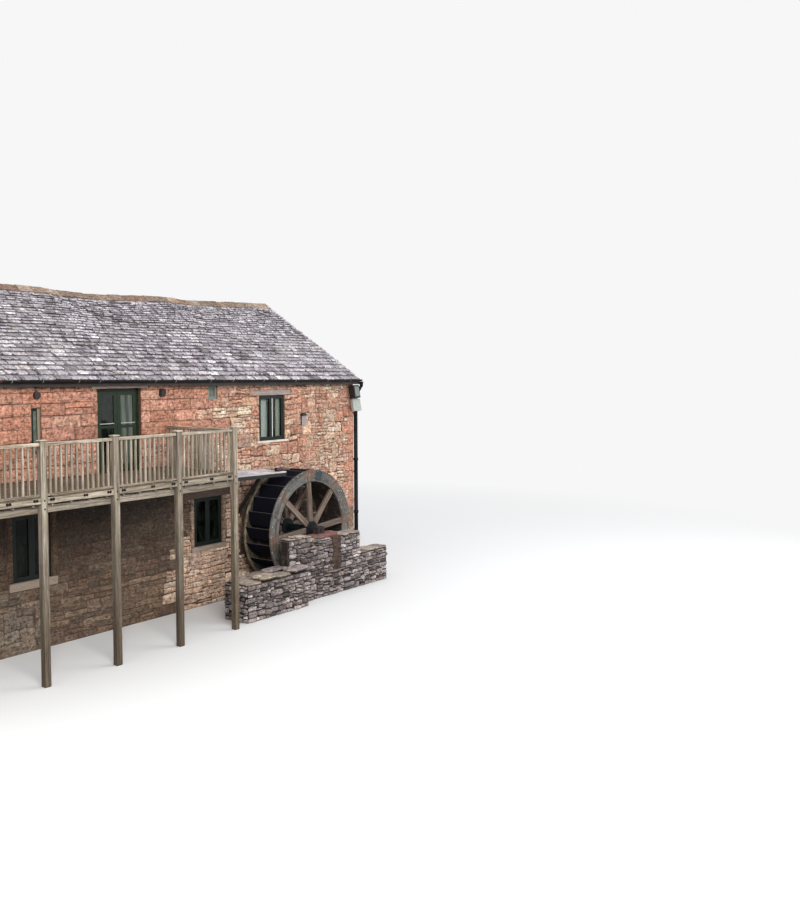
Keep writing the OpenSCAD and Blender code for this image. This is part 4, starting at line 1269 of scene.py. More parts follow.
dark_plate = metal_mat("dark_plate", rgb(34, 44, 46), 0.2, 0.6, 0.4, 0.002)
pale_iron = metal_mat("pale_iron", rgb(164, 163, 158), 0.3, 0.75)
hub_green = metal_mat("hub_paint", rgb(20, 29, 31), 0.12, 0.65, 0.4, 0.001, 0.12)

EIGHTH = math.pi / 4
SOLE_R, SOLE_T, SOLE_END = 1.4525, 0.024, 0.062
BUCKET_FOOT, BUCKET_ELBOW, BUCKET_R, PLATE_T = 1.466, 1.60, 1.778, 0.012
RIM_T, SPOKE_T, HUB_OUT = 0.06, 0.09, 0.025


def wheel_piece(b, name, material, slot, *replaced):
    """One piece that turns with the wheel."""
    b.make("wheel_" + name, material, slot, replaced, "wheel")


def rim_point(r, a, y):
    """A point at a radius and an angle round the axle."""
    return Vector((AX + r * math.cos(a), y, AZ + r * math.sin(a)))


def spoke_way(a):
    """Direction out from the axle at an angle, and the direction across it."""
    return Vector((math.cos(a), 0, math.sin(a))), Vector((-math.sin(a), 0, math.cos(a)))


def rim(name, y, material, seed):
    """A rim of eight curved segments, whose joints are midway between the spokes."""
    b = Build(random.Random(seed))
    for i in range(8):
        a0 = TURN + math.pi / 8 + 2 * math.pi * i / 8
        b.arc(y, RIM_IN, WHEEL_R, a0 + 0.0012, a0 + EIGHTH - 0.0012, RIM_T, 12, 0.008,
              vary(b.rng, (0.95, 0.94, 0.92), 0.14, 0.05))
    wheel_piece(b, name, material, "wheel_wood", name)


def spokes(name, y, seed):
    """Eight spokes from the hub to the rim, flush with its face."""
    b = Build(random.Random(seed))
    for i in range(8):
        d, side = spoke_way(TURN + i * EIGHTH)
        c = Vector((AX, y + SPOKE_T / 2, AZ))
        b.bar(c + d * 0.241, c + d * 1.425, 0.176, SPOKE_T, side, 0.012, 6, 0.003,
              vary(b.rng, (0.84, 0.8, 0.76), 0.34, 0.06))
    wheel_piece(b, name, spoke_wood, "wheel_wood", name)


def soles(rng):
    """Sole boards, edge to edge round the wheel."""
    b = Build(rng)
    n = 48
    for i in range(n):
        a0, a1 = 2 * math.pi * i / n, 2 * math.pi * (i + 1) / n
        d, side = spoke_way((a0 + a1) / 2)
        w = 2 * SOLE_R * math.sin((a1 - a0) / 2) - 0.003
        c = Vector((AX, 0, AZ)) + d * SOLE_R
        b.bar(c + Y * (W_FRONT + SOLE_END), c + Y * (W_BACK - SOLE_END), w, SOLE_T, side, 0.003, 3, 0.001,
              vary(rng, (0.9, 0.88, 0.86), 0.2, 0.06))
    wheel_piece(b, "sole_boards", sole_wood, "sole_wood", "wheel_soles")


def buckets(rng):
    """Bent bucket plates, each with a bright worn lip and a cleat at both ends."""
    b, edge, cleat = Build(rng), Build(rng), Build(rng)
    y0, y1 = W_FRONT + SOLE_END, W_BACK - SOLE_END
    foot, elbow = BUCKET_FOOT, BUCKET_ELBOW
    bend = math.radians(13)
    lr, lt = BUCKET_R * math.cos(bend), BUCKET_R * math.sin(bend)
    lean = Vector((lr - elbow, lt)).normalized()
    nb = Vector((-lean.y, lean.x)) * PLATE_T
    prof = [(foot, 0.0), (elbow - 0.01, 0.0), (elbow + 0.004, 0.004), (lr, lt), (lr + nb.x, lt + nb.y),
            (elbow - 0.003, 0.016), (elbow - 0.014, PLATE_T), (foot, PLATE_T)]
    for i in range(24):
        a = math.radians(6 + 15 * i)

        def spot(r, t, y):
            c, s = math.cos(a), math.sin(a)
            return Vector((AX + r * c + t * s, y, AZ + r * s - t * c))
        rings = []
        for j in range(6, -1, -1):
            e = 0.004 * uneven(i * 3.1, j * 0.9)
            rings.append([spot(r, t + e * (r - foot) * 3, y0 + (y1 - y0) * j / 6) for r, t in prof])
        b.loft(rings, vary(rng, PLAIN, 0.2))
        lip = (lr + nb.x / 2, lt + nb.y / 2)
        edge.bar(spot(*lip, y0 + 0.002), spot(*lip, y1 - 0.002), 0.014, 0.014, spot(1, 0, 0) - spot(0, 0, 0),
                 0.004, 5, 0.0015)
        for y in (y0 + 0.019, y1 - 0.019):
            cleat.bar(spot(foot + 0.01, SOLE_T, y), spot(elbow - 0.02, SOLE_T, y), 0.034, 0.02, Y, 0.003)
    wheel_piece(b, "bucket_plates", bucket_iron, "bucket_iron", "wheel_buckets")
    wheel_piece(edge, "bucket_lips", lip_metal, "bucket_iron")
    wheel_piece(cleat, "bucket_cleats", bucket_iron, "bucket_iron")


def rim_plates(rng):
    """Rusty plates by the spoke ends, a dark patch plate on each rim, and all their bolts."""
    plates, bolts, dark = Build(rng), Build(), Build(rng)
    for y, s in ((W_FRONT, -1), (W_BACK, 1)):
        out = Y * s
        for i in range(8):
            a = TURN + i * EIGHTH + rng.uniform(-0.015, 0.015)
            yy = y + s * 0.004
            plates.arc(yy - 0.004, 1.455, 1.62, a - 0.05, a + 0.05, 0.008, 4, 0.003)
            for r in (1.49, 1.58):
                for da in (-0.035, 0.035):
                    bolts.bolt(rim_point(r, a + da, yy + s * 0.004), out, 0.014, 0.014)
            a = TURN + i * EIGHTH
            d, side = spoke_way(a)
            for k in (-0.045, 0.045):
                bolts.bolt(rim_point(1.52, a, y + s * 0.0005) + side * k, out, 0.013, 0.014)
            for r in (0.3, 0.42):
                c = Vector((AX, y + s * 0.0005, AZ)) + d * r
                for k in (0.04, -0.04):
                    bolts.bolt(c + side * k, out, 0.012, 0.012)
        a = TURN + 1.9 * EIGHTH
        dark.arc(y + s * 0.005 - 0.005, 1.47, 1.77, a - 0.27, a - 0.11, 0.01, 6, 0.003)
        for r in (1.52, 1.72):
            for da in (-0.25, -0.13):
                dark.bolt(rim_point(r, a + da, y + s * 0.01), out, 0.014, 0.016)
    wheel_piece(plates, "joint_plates", rusty, "wheel_iron")
    wheel_piece(dark, "patch_plates", dark_plate, "wheel_iron")
    wheel_piece(bolts, "bolts", rusty, "wheel_iron")


def rim_bolts(rng):
    """Small pale bolts near the front rim's outer edge."""
    b = Build()
    for i in range(48):
        a = math.radians(6 + 7.5 * i) + rng.uniform(-0.03, 0.03)
        if rng.random() < 0.55:
            r = (1.765 if i % 2 else 1.735) + rng.uniform(-0.012, 0.01)
            b.bolt(rim_point(r, a, W_FRONT - 0.0005), -Y, rng.uniform(0.007, 0.012), 0.012)
    wheel_piece(b, "rim_bolts", pale_iron, "wheel_iron")


def hub_ribs(rng):
    """Ribs and a ring of bolts on each cast hub."""
    b = Build(rng)
    for y, s in ((W_FRONT - HUB_OUT, -1), (W_BACK + HUB_OUT, 1)):
        for i in range(8):
            a = TURN + (i + 0.5) * EIGHTH
            d, side = spoke_way(a)
            c = Vector((AX, y, AZ))
            b.bar(c + d * 0.125 + Y * s * 0.012, c + d * 0.232 + Y * s * 0.006, 0.02, 0.03, side, 0.004,
                  ends=(1, 0.7))
            b.bolt(rim_point(0.19, a + math.pi / 8, y + s * 0.0005), Y * s, 0.018, 0.02)
    wheel_piece(b, "hub_ribs", hub_green, "wheel_iron")


def shaft():
    """The shaft with a thinner journal at both ends."""
    b = Build()
    front, back, shaft_r, journal_r, tip = -6.045, -3.98, 0.1, 0.0575, 0.001
    b.turned((AX, 0, AZ), [(front, tip), (front, 0.05), (-6.038, journal_r), (-5.785, journal_r),
                           (-5.785, shaft_r), (-4.24, shaft_r), (-4.24, journal_r), (back, journal_r),
                           (back, tip)], "Y", 48)
    wheel_piece(b, "shaft", hub_green, "wheel_iron", "wheel_axle")


def wheel():
    """The whole wheel. Its small parts share one row of random numbers."""
    rim("front_rim", W_FRONT, wheel_wood, 3)
    rim("rear_rim", W_BACK - RIM_T, rear_wood, 4)
    spokes("front_spokes", W_FRONT, 7)
    spokes("rear_spokes", W_BACK - SPOKE_T, 8)
    rng = random.Random(9)
    soles(rng)
    buckets(rng)
    rim_plates(rng)
    rim_bolts(rng)
    hub_ribs(rng)
    shaft()


wheel()


# Launder

launder_wood = wood_mat("launder_wood", rgb(216, 211, 213), rgb(170, 164, 168), 0.5, 0.9,
                        rgb(140, 132, 124), 0.74, 0.002)
black_wood = wood_mat("black_timber", rgb(24, 22, 22), rgb(13, 12, 13), 0.4, 0.8)
TILT = math.radians(1)
LAUNDER_FOOT = Vector((-0.10, LAUNDER_Y, 3.765))


def channel(x, y, z):
    """A point of the tilted launder: x along it, y across, z above its underside."""
    return LAUNDER_FOOT + Vector((x * math.cos(TILT) + z * math.sin(TILT), y,
                                  -x * math.sin(TILT) + z * math.cos(TILT)))


def launder_boards(rng):
    """Four floor boards, and two sides that are worn away towards the wheel."""
    b = Build(rng)
    for i in range(4):
        y = LAUNDER_WIDE * (i + 0.5) / 4
        b.bar(channel(0, y, 0.02), channel(LAUNDER_LONG, y, 0.02), LAUNDER_WIDE / 4 - 0.003, 0.04, Y, 0.004,
              8, 0.001, vary(rng, (0.98, 0.97, 1.0), 0.08, 0.02))
    heights = ((0, 0.136), (0.004, 0.14), (0.7, 0.141), (1.4, 0.139), (2.19, 0.14), (2.3, 0.093),
               (2.475, 0.006))
    for y, tall in ((0.02, 1.0), (0.80, 0.45)):
        tint = vary(rng, (1.0, 0.98, 1.0), 0.05, 0.02)
        off = Vector((rng.uniform(0, 9), rng.uniform(0, 9), 0))
        rings, grain = [], []
        for x, h in heights:
            h = max(h * tall, 0.006)
            low = max(h - 0.005, 0.002)
            sec = [(-0.02, 0.0), (0.02, 0.0), (0.02, low), (0.014, h), (-0.014, h), (-0.02, low)]
            rings.append([channel(x, y + p, 0.04 + q) for p, q in sec])
            grain.append([off + Vector((x, p, q)) for p, q in sec])
        b.loft(rings, tint, grain)
    b.make("launder_boards", launder_wood, "launder_wood", ("launder",))


def launder_sheet():
    """A curled metal sheet left at the mouth."""
    b = Build()
    arc = [math.radians(a) for a in range(-70, 251, 20)]
    b.loft([[channel(2.78 + 0.045 * i, 0.12 + r * math.cos(a), 0.098 + r * math.sin(a))
             for r, angles in ((0.056, arc), (0.051, arc[::-1])) for a in angles] for i in range(7)])
    b.make("launder_sheet", metal_mat("dark_sheet", rgb(48, 36, 46), 0.1, 0.6), "wheel_iron")


def launder_frame(rng):
    """Two beams under the launder, two arms from the wall and a brace under the right arm."""
    b, bolts = Build(rng), Build()
    beams = (0.04, 0.78)
    z = -0.05
    for y in beams:
        b.bar(channel(0, y, z), channel(LAUNDER_LONG, y, z), 0.08, 0.1, Y, 0.006, 6, 0.001)
    reach = -HY - LAUNDER_Y - 0.001
    low = 0.1 + (reach - 0.31) * 1.19
    brace = [(0.31, -0.1), (0.41, -0.1), (reach, 0.1 - low), (reach, -low)]
    cx, cz = [sum(p[k] for p in brace) / 4 for k in (0, 1)]
    for x in (0.30, 2.35):
        c = x + 0.04
        b.bar(channel(c, 0.001, z), channel(c, reach, z), 0.078, 0.098, X, 0.006, 4, 0.001)
        for y in beams:
            bolts.bolt(channel(c, y, 0.0401), Z, 0.012, 0.012)
    b.loft([[channel(2.35 + e, p + (cx - p) * k, q + (cz - q) * k) for p, q in brace]
            for e, k in ((0.0, 0.006), (0.006, 0), (0.074, 0), (0.08, 0.006))])
    b.make("launder_frame", black_wood, "black_iron", ("launder_brackets",))
    bolts.make("launder_bolts", iron, "black_iron")


def launder():
    """The channel that brings the water to the wheel."""
    rng = random.Random(13)
    launder_boards(rng)
    launder_sheet()
    launder_frame(rng)


launder()


# Wheel pit

rubble = stone_mat("rubble", 0.4, 0.85, 0.03, 0.06, 0.6, 1.7)
flagstone = stone_mat("flagstone", 0.3, 0.25, 0.008, 0.08, 0.0, 0.6)
upright = stone_mat("upright_stone", 0.9, 0.12, 0.03, 0.0, 0.9, 0.8)
red_wood = wood_mat("red_timber", rgb(146, 98, 92), rgb(108, 68, 66), 0.55, 0.85, rgb(150, 138, 134), 0.66)
FLAGS = tones("aa9d92 7a706c 9e9086 867b78 b2a69c 807068 968b86")
STEP_Y, PIT_FRONT, PIT_BACK, LEDGE_Y = -6.65, -6.30, -5.79, -6.0
ROUGH, FLAT, FLAT_END = ((0.008, 0.066), 0.026), ((0.004, 0.022), 0.012), ((0.004, 0.02), 0.026)

# Faces of the pit's walls: the side it looks to, from and to along it, foot and top, where it
# stands. The sides towards the wheel are flatter, so that the wheel passes them.
PIT_FACES = (
    ("front", 0.32, 2.70, 0, 0.99, STEP_Y, ROUGH), ("back", 0.32, 2.70, 0, 0.99, PIT_BACK, FLAT),
    ("left", STEP_Y, PIT_BACK, 0, 0.99, 0.32, ROUGH), ("right", STEP_Y, PIT_FRONT, 0, 0.99, 2.70, ROUGH),
    ("front", 2.70, 6.85, 0, 0.73, PIT_FRONT, ROUGH), ("back", 2.70, 6.85, 0, 0.73, PIT_BACK, FLAT),
    ("front", 2.30, 3.20, 1.05, 1.86, PIT_FRONT, ROUGH), ("front", 2.70, 3.20, 0.73, 1.05, PIT_FRONT, ROUGH),
    ("back", 2.30, 3.20, 1.05, 1.86, LEDGE_Y, FLAT), ("left", PIT_FRONT, LEDGE_Y, 1.05, 1.86, 2.30, FLAT_END),
    ("front", 3.20, 4.17, 0.73, 1.67, PIT_FRONT, ROUGH), ("back", 2.70, 4.17, 0.73, 1.67, PIT_BACK, FLAT),
    ("front", 4.57, 5.49, 0.73, 1.68, PIT_FRONT, ROUGH), ("back", 4.57, 5.49, 0.73, 1.68, PIT_BACK, FLAT),
    ("right", PIT_FRONT, PIT_BACK, 1.0, 1.68, 5.49, ROUGH),
    ("front", 5.49, 6.85, 0.73, 1.00, PIT_FRONT, ROUGH), ("back", 5.49, 6.85, 0.73, 1.00, PIT_BACK, FLAT),
    ("right", PIT_FRONT, PIT_BACK, 0, 1.0, 6.85, ROUGH))

# Flagstones on top: X from and to, Y from and to, foot, thickness, lean along X and Y, colour
PIT_FLAGS = (
    (0.27, 0.9, -6.71, -6.24, 0.97, 0.075, -0.02, 0.02, (164, 151, 137)),
    (0.34, 1.0, -6.3, -5.77, 0.99, 0.06, 0.03),
    (0.8, 1.46, -6.7, -6.2, 1.045, 0.075, 0.03, 0.03, (176, 163, 149)),
    (0.96, 1.6, -6.28, -5.77, 1.035, 0.06, 0.04),
    (1.4, 2.06, -6.7, -6.24, 1.0, 0.08, -0.03, 0.02, (142, 132, 126)),
    (1.46, 2.1, -6.3, -5.9, 1.09, 0.06, 0.05, 0.02, (136, 127, 128)),
    (2.0, 2.78, -6.71, -6.22, 1.06, 0.08, 0.03, 0.02, (152, 143, 144)),
    (1.55, 2.2, -6.1, -5.77, 1.04, 0.05), (1.98, 2.5, -6.34, -5.9, 1.1, 0.06, 0.04),
    (2.1, 2.72, -6.1, -5.78, 1.04, 0.05), (2.24, 2.86, -6.37, -5.97, 1.86, 0.045, -0.03),
    (2.78, 3.28, -6.38, -5.98, 1.855, 0.04, -0.06), (2.46, 3.1, -6.35, -6.0, 1.9, 0.035, -0.04),
    (2.72, 3.24, -6.0, -5.78, 1.67, 0.05), (3.16, 3.72, -6.38, -5.8, 1.675, 0.045, -0.01),
    (3.62, 4.18, -6.37, -5.8, 1.67, 0.045), (3.12, 3.62, -6.36, -6.24, 1.72, 0.045, -0.02),
    (3.36, 3.86, -6.36, -6.24, 1.76, 0.04, -0.06), (3.16, 3.44, -6.34, -6.0, 1.75, 0.05, -0.03),
    (4.55, 5.02, -6.39, -5.77, 1.685, 0.055, 0.01), (4.96, 5.56, -6.38, -5.77, 1.68, 0.05, -0.03),
    (5.5, 6.0, -6.36, -5.78, 1.0, 0.06), (5.9, 6.5, -6.35, -5.77, 1.005, 0.07, -0.02),
    (6.4, 6.92, -6.37, -5.77, 1.0, 0.06, 0.02))


def drystone(b, wall, u0, u1, z0, z1, proud, relief):
    """Rough walling stones with deep joints on a face; some rise through two rows."""
    rng = b.rng
    z = z0
    blocked = []
    while z < z1 - 0.01:
        h = rng.uniform(0.065, 0.15)
        if z + h > z1 - 0.05:
            h = z1 - z
        u = u0
        risen = []
        while u < u1 - 0.01:
            w = rng.uniform(0.1, 0.34)
            if u + w > u1 - 0.07:
                w = u1 - u
            rise = 0.0
            if rng.random() < 0.2 and z + h + 0.1 < z1:
                rise = rng.uniform(0.03, 0.06)
                risen.append((u, u + w, z + h, z + h + rise))
            rects = [(u, u + w, z, z + h + rise)]
            for hole in blocked:
                rects = carve(rects, hole)
            for r0, r1, s0, s1 in rects:
                mid = (r0 + r1) / 2
                q = []
                for pu, pz in ((r0, s0), (mid, s0), (r1, s0), (r1, s1), (mid, s1), (r0, s1)):
                    fade = min(1, (pu - u0) / 0.08, (u1 - pu) / 0.08, (pz - z0) / 0.05, (z1 - pz) / 0.05)
                    fade = 0.045 * max(0, fade)
                    k = Vector((pu * 6, pz * 8, wall.o.y * 3 + wall.o.x))
                    q.append((pu + fade * noise.noise(k), pz + fade * noise.noise(k + Vector((9, 2, 4)))))
                out = rng.uniform(*proud)
                block(b, wall, q, out, vary(rng, rng.choice(DRY), 0.2, 0.03), rng.uniform(0.012, 0.028),
                      bury=0.05, relief=relief, soft=0.13)
            u += w
        blocked = risen
        z += h


def flag(b, x0, x1, y0, y1, z, thick, lean_x=0, lean_y=0, colour=None):
    """One flagstone with a broken outline, over a narrower bed that is darkened as a painted shadow under it.
    """
    rng = b.rng
    tint = vary(rng, rgb(*colour) if colour else rng.choice(FLAGS), 0.06, 0.02)
    cx, cy, hx, hy = (x0 + x1) / 2, (y0 + y1) / 2, (x1 - x0) / 2, (y1 - y0) / 2
    out = []
    for k in range(16):
        a = 2 * math.pi * (k + 0.5) / 16
        c, s = math.cos(a), math.sin(a)
        m = 1 / max(abs(c), abs(s)) ** 0.8
        j = 1 + rng.uniform(-0.13, 0.04)
        out.append((cx + c * m * hx * j, cy + s * m * hy * j))
    # The lower part is darkened: painted shadow under the flag's edge.
    for part, dark in ((((0, 0.93), (0.25, 0.985), (0.62, 0.98), (0.64, 0.7)), 0.22),
                       (((0.6, 0.7), (0.6, 0.99), (0.95, 0.965), (1.03, 0.5)), 1.0)):
        rings = []
        for h, k in part:
            spots = [(cx + (p - cx) * k, cy + (q - cy) * k) for p, q in out]
            rings.append([Vector((u, v, z + h * thick + lean_x * (u - cx) + lean_y * (v - cy)
                                  + 0.004 * uneven(u * 9, v * 9, z * 9))) for u, v in spots])
        b.loft(rings, dim(tint, dark))


def pit_walls(rng):
    """Dry walling on every face of the pit's walls and piers."""
    b = Build(rng)
    for side, a0, a1, z0, z1, at, (proud, relief) in PIT_FACES:
        along, out, spot = {"front": (X, -Y, Y), "back": (-X, Y, Y), "left": (-Y, -X, X),
                            "right": (Y, X, X)}[side]
        u0, u1 = (-a1, -a0) if side in ("back", "left") else (a0, a1)
        drystone(b, Wall(spot * at, along, out), u0, u1, z0, z1, proud, relief)
    b.make("pit_stones", rubble, "rubble")


def pit_top(rng):
    """The flagstones on the walls."""
    b = Build(rng)
    for row in PIT_FLAGS:
        flag(b, *row)
    b.make("pit_flags", flagstone, "trim_stone", ("cap_slabs",))


def fitting(rng, name, material, slot, *bars, replaces=()):
    """A piece that is made of plain bars."""
    b = Build(rng)
    for bar in bars:
        b.bar(*bar)
    b.make(name, material, slot, replaces)


def pit():
    """The wheel pit: walls, flagstones, the upright stone, two planks and the bearing beam."""
    rng = random.Random(17)
    pit_walls(rng)
    pit_top(rng)
    y = (PIT_FRONT - 0.03 + PIT_BACK) / 2
    fitting(rng, "pit_upright", upright, "upright_stone",
            ((4.37, y, 0.73), (4.37, y, 1.73), 0.40, 0.54, X, 0.02, 8, 0.014, rgb(76, 60, 51)),
            replaces=("upright_stone",))
    fitting(rng, "pit_plank", sole_wood, "sole_wood",
            ((2.235, -6.17, 1.03), (2.245, -6.17, 1.84), 0.3, 0.05, Y, 0.006, 6, 0.002),
            ((2.195, -6.1, 1.03), (2.205, -6.1, 1.6), 0.12, 0.035, Y, 0.006, 5, 0.002, (0.7, 0.7, 0.7)))
    fitting(rng, "pit_beam", red_wood, "red_beam",
            ((3.45, -6.04, 1.78), (4.53, -6.04, 1.78), 0.38, 0.1, Y, 0.008, 6, 0.002, (0.95, 0.95, 0.95)),
            replaces=("bearing_beam",))


pit()


# Finish of the framed pieces

def dress(material, *names):
    """Gives framed pieces a material."""
    for name in names:
        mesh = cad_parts[name].data
        mesh.materials.clear()
        mesh.materials.append(material)


lamp_dark = metal_mat("lamp_dark", rgb(32, 28, 31), 0.1, 0.6, dust=0.003)
dress(mortar_mat(), "front_wall", "back_wall", "left_gable_wall", "right_gable_wall")
dress(shaded_core_mat(), "pit_wall", "bearing_pier", "outer_pier")
dress(iron, "gutters")
dress(paint_mat(), "door_frame", "door_leaves", "window_frames")
dress(hub_green, "wheel_hubs")
dress(metal_mat("bearing_iron", rgb(44, 38, 41), 0.25, 0.85, 0.3, 0.004, 0.1), "axle_bearings")
dress(glass_mat(), "window_glass")
dress(plain_stone("sill_stone", rgb(160, 146, 132), (0.62, 0.57, 0.53), [(4.0, rgb(240, 229, 218))]),
      "window_sills")
# Lintels above 6.2, over the door, are near white: pale stone made paler still as painted light under the
# gutter.
dress(plain_stone("lintel_stone", rgb(104, 86, 78), (0.55, 0.5, 0.47),
                  [(5.8, rgb(168, 155, 150)), (6.2, rgb(248, 224, 208))]), "lintels")
dress(plain_stone("floor_stone", rgb(120, 112, 104), rgb(88, 80, 72)), "ground_floor")
dress(plain_stone("floor_boards", rgb(120, 96, 72), rgb(86, 66, 50)), "upper_floor")
dress(lamp_dark, "floodlight", "wall_lamps")
dress(metal_mat("white_plastic", rgb(144, 147, 142)), "alarm_box")


def rain_pipes(rng):
    """A pipe with sockets at both right corners, bent under the eave, and its three brackets."""
    b = Build(rng)
    x, r, tip, socket = 7.922, 0.068, 0.001, 0.014
    for s in (-1, 1):
        y, outlet = s * 4.21, s * 4.469
        prof = [(0.0, tip), (0.0, r), (0.0, r + 0.012), (0.03, r + 0.012), (0.035, r)]
        for z in (1.8, 3.6, 5.4):
            prof += [(z, r), (z + 0.005, r + socket), (z + 0.09, r + socket), (z + 0.1, r + 0.004),
                     (z + 0.101, r)]
        b.turned((x, y, 0), prof + [(5.85, r), (5.85, tip)], "Z", 20)
        foot, head = Vector((x, y, 5.8)), Vector((x, outlet, 6.16))
        side = (head - foot).cross(X).normalized()
        b.loft([[p + (X * math.cos(a) + side * math.sin(a)) * 0.052 for a in circle(16)]
                for p in (foot, foot.lerp(head, 0.3), foot.lerp(head, 0.7), head)], smooth=True)
        b.turned((x, outlet, 6.13), [(0.0, tip), (0.0, 0.056), (0.1, 0.06), (0.11, 0.068), (0.17, 0.07),
                                     (0.17, tip)], "Z", 20)
        for z in (1.225, 3.225, 5.225):
            b.bar((HX, y, z), (x, y, z), 0.17, 0.05, Y)
    b.make("rain_pipes", iron, "black_iron", ("downpipes",))


def floodlight_lens(rng):
    """The pale glass of the floodlight, which leans forward by ten degrees."""
    tip, back = math.cos(math.radians(10)), math.sin(math.radians(10))
    y = -0.22 - 0.002
    ends = [(7.665, -4.24 + tip * y - back * z, 6.15 - back * y - tip * z) for z in (0.05, 0.38)]
    lens = metal_mat("lamp_lens", rgb(98, 106, 104), 0.0, 0.3)
    fitting(rng, "floodlight_lens", lens, "lamp_grey", (*ends, 0.22, 0.012, X, 0.004))


def lamp_stem(rng):
    """The stem of the round wall lamp and its block on the wall."""
    b = Build(rng)
    b.turned((-4.23, -4.235, 6.2), [(0, 0.001), (0, 0.014), (0.12, 0.014), (0.121, 0.001)], "Z", 10)
    b.bar((-4.23, -4.2, 6.34), (-4.23, -4.28, 6.34), 0.09, 0.09, X)
    b.make("wall_lamp_stem", lamp_dark, "lamp_grey")


def fittings():
    """Rain pipes and the small pieces of the front: lamps, drip bars, a bead and a vent."""
    rng = random.Random(33)
    rain_pipes(rng)
    floodlight_lens(rng)
    lamp_stem(rng)
    fitting(rng, "wall_lamp_hood", lamp_dark, "lamp_grey",
            ((-0.44, -4.2, 6.12), (-0.44, -4.32, 6.1), 0.16, 0.2, X, 0.02))
    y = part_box("door_leaves")[0][1] - 0.008
    fitting(rng, "door_drip_bars", pale_iron, "lamp_grey",
            *[((x0, y, 5.34), (x1, y, 5.34), 0.014, 0.02, Y, 0.003)
              for x0, x1 in ((-2.34, -1.91), (-1.69, -1.26))])
    white = metal_mat("white_bead", rgb(206, 212, 210), 0.0, 0.6)
    fitting(rng, "window_bead", white, "white_plastic",
            ((3.885, -4.175, 4.66), (3.885, -4.175, 5.84), 0.017, 0.02, X, 0.003))
    x0, x1, y = HX - 2.655, HX - 2.46, -4.262
    fitting(rng, "vent_face", metal_mat("vent_face", rgb(128, 126, 128), 0.1, 0.7), "lamp_grey",
            (((x0 + x1) / 2, y, 4.93), ((x0 + x1) / 2, y, 5.25), x1 - x0, 0.014, X, 0.004))
    fitting(rng, "vent_hood", lamp_dark, "lamp_grey",
            ((x0 - 0.02, -4.26, 5.275), (x1 + 0.02, -4.26, 5.275), 0.1, 0.05, Y))


def gutter_straps():
    """Pale straps that hold the gutters, at the places where they show on the front."""
    b = Build()
    gutter_y, inner, outer, half = -4.4683, 0.0684, 0.0744, 0.008
    for sy in (-1, 1):
        for d in (12.81, 12.01, 11.02, 10.41, 8.66, 7.98, 6.72, 5.87, 4.61, 3.2, 1.67, 0.5):
            x = HX - d
            z = eave(x) + 0.004
            rings = []
            for k in range(13):
                a = math.radians(184 + 12 * k)
                ring = [Vector((x + w, -sy * (gutter_y + r * math.cos(a)), z + r * math.sin(a)))
                        for r, w in ((inner, -half), (inner, half), (outer, half), (outer, -half))]
                rings.append(ring[::-sy])
            b.loft(rings)
    b.make("gutter_straps", metal_mat("strap_iron", rgb(118, 118, 118), 0.1, 0.7), "black_iron")


def curtain(name, x0, x1, flat, seed, cloth):
    """A hung curtain gathered into folds; flat is the cloth's width before gathering."""
    y, z0, z1 = -4.05, 4.62, 5.86
    n, rows = 96, 16
    span = x1 - x0

    def line(amp, t):
        pts = []
        for i in range(n + 1):
            u = i / n
            turn = 2 * math.pi * (20 * span) * u
            pts.append((x0 + span * u + 0.006 * math.sin(turn * 0.5 + seed),
                        y + amp * math.sin(turn + 0.6 * math.sin(3 * u + seed + t * 0.4))))
        return pts

    def length(pts):
        return sum(math.hypot(q[0] - p[0], q[1] - p[1]) for p, q in zip(pts, pts[1:]))
    verts = []
    for j in range(rows + 1):
        t = j / rows
        lo, hi = 0.0, 0.2
        for _ in range(30):
            mid = (lo + hi) / 2
            if length(line(mid, t)) < flat:
                lo = mid
            else:
                hi = mid
        verts += [(px, py, z1 + (z0 - z1) * t) for px, py in line(lo, t)]
    corners = [j * (n + 1) + i for j in range(rows) for i in range(n)]
    faces = [(a, a + 1, a + n + 2, a + n + 1) for a in corners]
    mesh = bpy.data.meshes.new(name)
    mesh.from_pydata(verts, [], faces)
    mesh.polygons.foreach_set("use_smooth", [True] * len(faces))
    mesh.materials.append(cloth)
    piece = add_object(name, mesh)
    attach(piece, "building")


fittings()
gutter_straps()
curtain("upper_curtain_left", 3.42, 3.78, 0.62, 1, cloth_mat("pale_cloth", rgb(228, 240, 236)))
curtain("upper_curtain_right", 4.15, 4.35, 0.34, 2, cloth_mat("green_cloth", rgb(196, 212, 194)))


# Light and camera

def floor():
    """A wide floor that looks pale and fades to the backdrop, but throws little light back."""
    mesh = bpy.data.meshes.new("floor")
    s = 90
    mesh.from_pydata([(-s, -s, 0), (s, -s, 0), (s, s, 0), (-s, s, 0)], [], [(0, 1, 2, 3)])
    add_object("floor", mesh)
    m = Mat("pale_floor", 0.9)
    pale = m.seen()
    m.col = m.mix(pale, (0.2, 0.19, 0.17), (0.7, 0.7, 0.7))
    mesh.materials.append(m.finish(m.noise(3, 4), 0.002))
    far = m.node("ShaderNodeVectorMath", {0: m.at}, operation="LENGTH").outputs["Value"]
    glow = m.node("ShaderNodeEmission", {"Color": BACKDROP, "Strength": 1.0}).outputs[0]
    shaders = {0: m.times(pale, m.map(far, 13, 30)), 1: m.out.outputs[0], 2: glow}
    both = m.node("ShaderNodeMixShader", shaders).outputs[0]
    m.join(m.tree.nodes["Material Output"].inputs["Surface"], both)


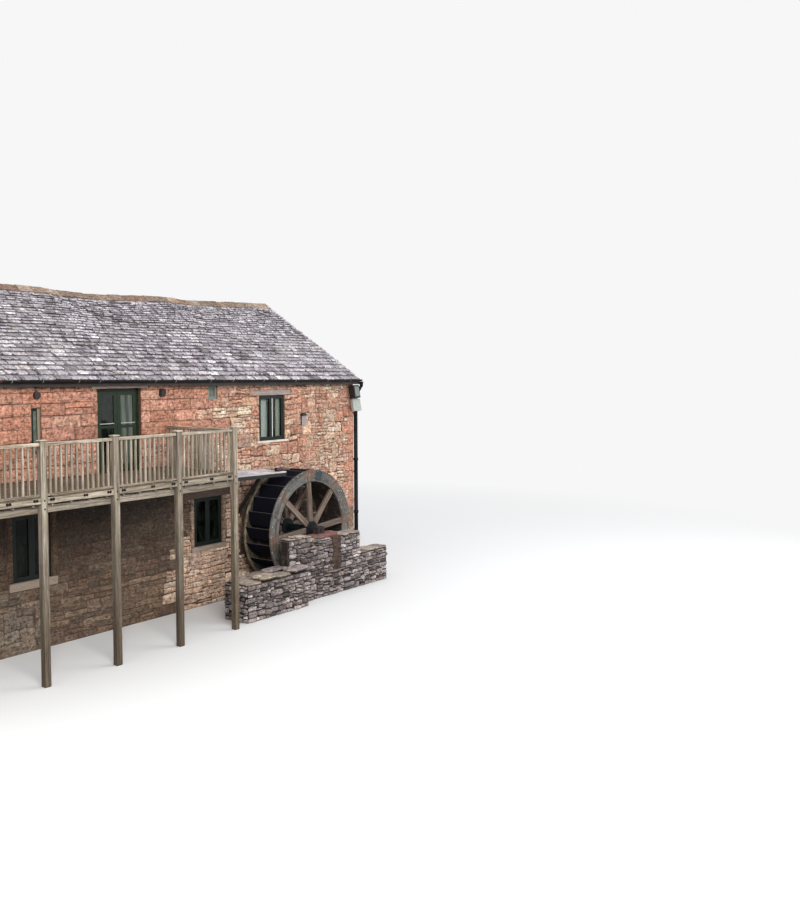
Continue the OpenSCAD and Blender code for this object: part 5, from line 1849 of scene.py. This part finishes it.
def sky():
    """A pale backdrop that lights the scene softly from above."""
    world = bpy.data.worlds.new("studio")
    bpy.context.scene.world = world
    world.use_nodes = True
    world.node_tree.nodes.clear()
    t = Nodes(world.node_tree)
    up = t.split(t.node("ShaderNodeTexCoord").outputs["Generated"])["Z"]
    soft = {"Color": (0.95, 0.97, 1.0), "Strength": t.map(up, 0.0, 1.0, 0.42, 1.25)}
    ins = {0: t.seen(), 1: t.node("ShaderNodeBackground", soft).outputs[0],
           2: t.node("ShaderNodeBackground", {"Color": BACKDROP, "Strength": 1.0}).outputs[0]}
    t.node("ShaderNodeOutputWorld", {"Surface": t.node("ShaderNodeMixShader", ins).outputs[0]})


def lamp(name, energy, size, place, target, colour):
    """A square lamp at a place, turned to a target."""
    light = bpy.data.lights.new(name, "AREA")
    light.energy, light.size, light.color = energy, size, colour
    made = add_object(name, light)
    made.location = place
    made.rotation_euler = (Vector(target) - Vector(place)).to_track_quat("-Z", "Y").to_euler()


def camera():
    """The photo's camera: focal length and centre in pixels, turns in degrees, and its place."""
    wide, tall, sensor = 800, 900, 36
    focal, centre_y = 954.03, 413.07
    yaw, pitch, roll = [math.radians(v) for v in (53.803, 2.657, 0.212)]
    place = (-17.4435, -24.6541, 6.7274)
    cam = bpy.data.cameras.new("camera")
    cam.sensor_fit, cam.sensor_width = "HORIZONTAL", sensor
    cam.lens = focal * sensor / wide
    cam.shift_x, cam.shift_y = 0.0, (centre_y - tall / 2) / wide
    cam.clip_end = 400
    made = add_object("camera", cam)
    ahead = Vector((math.sin(yaw) * math.cos(pitch), math.cos(yaw) * math.cos(pitch), -math.sin(pitch)))
    right = Vector((math.cos(yaw), -math.sin(yaw), 0))
    down = ahead.cross(right)
    across = right * math.cos(roll) + down * math.sin(roll)
    below = down * math.cos(roll) - right * math.sin(roll)
    m = made.matrix_world.copy()
    for i in range(3):
        m[i][0], m[i][1], m[i][2], m[i][3] = across[i], -below[i], -ahead[i], place[i]
    made.matrix_world = m
    bpy.context.scene.camera = made


BACKDROP = (0.93, 0.93, 0.93)
floor()
sky()
lamp("key", 7400, 12, (-15.5, -28.5, 16.5), (1, -4, 3), (1.0, 0.96, 0.91))
lamp("fill", 3000, 14, (16, -24, 10), (2, -4, 3), (0.94, 0.97, 1.0))
camera()
bpy.context.scene.view_settings.view_transform = "Standard"
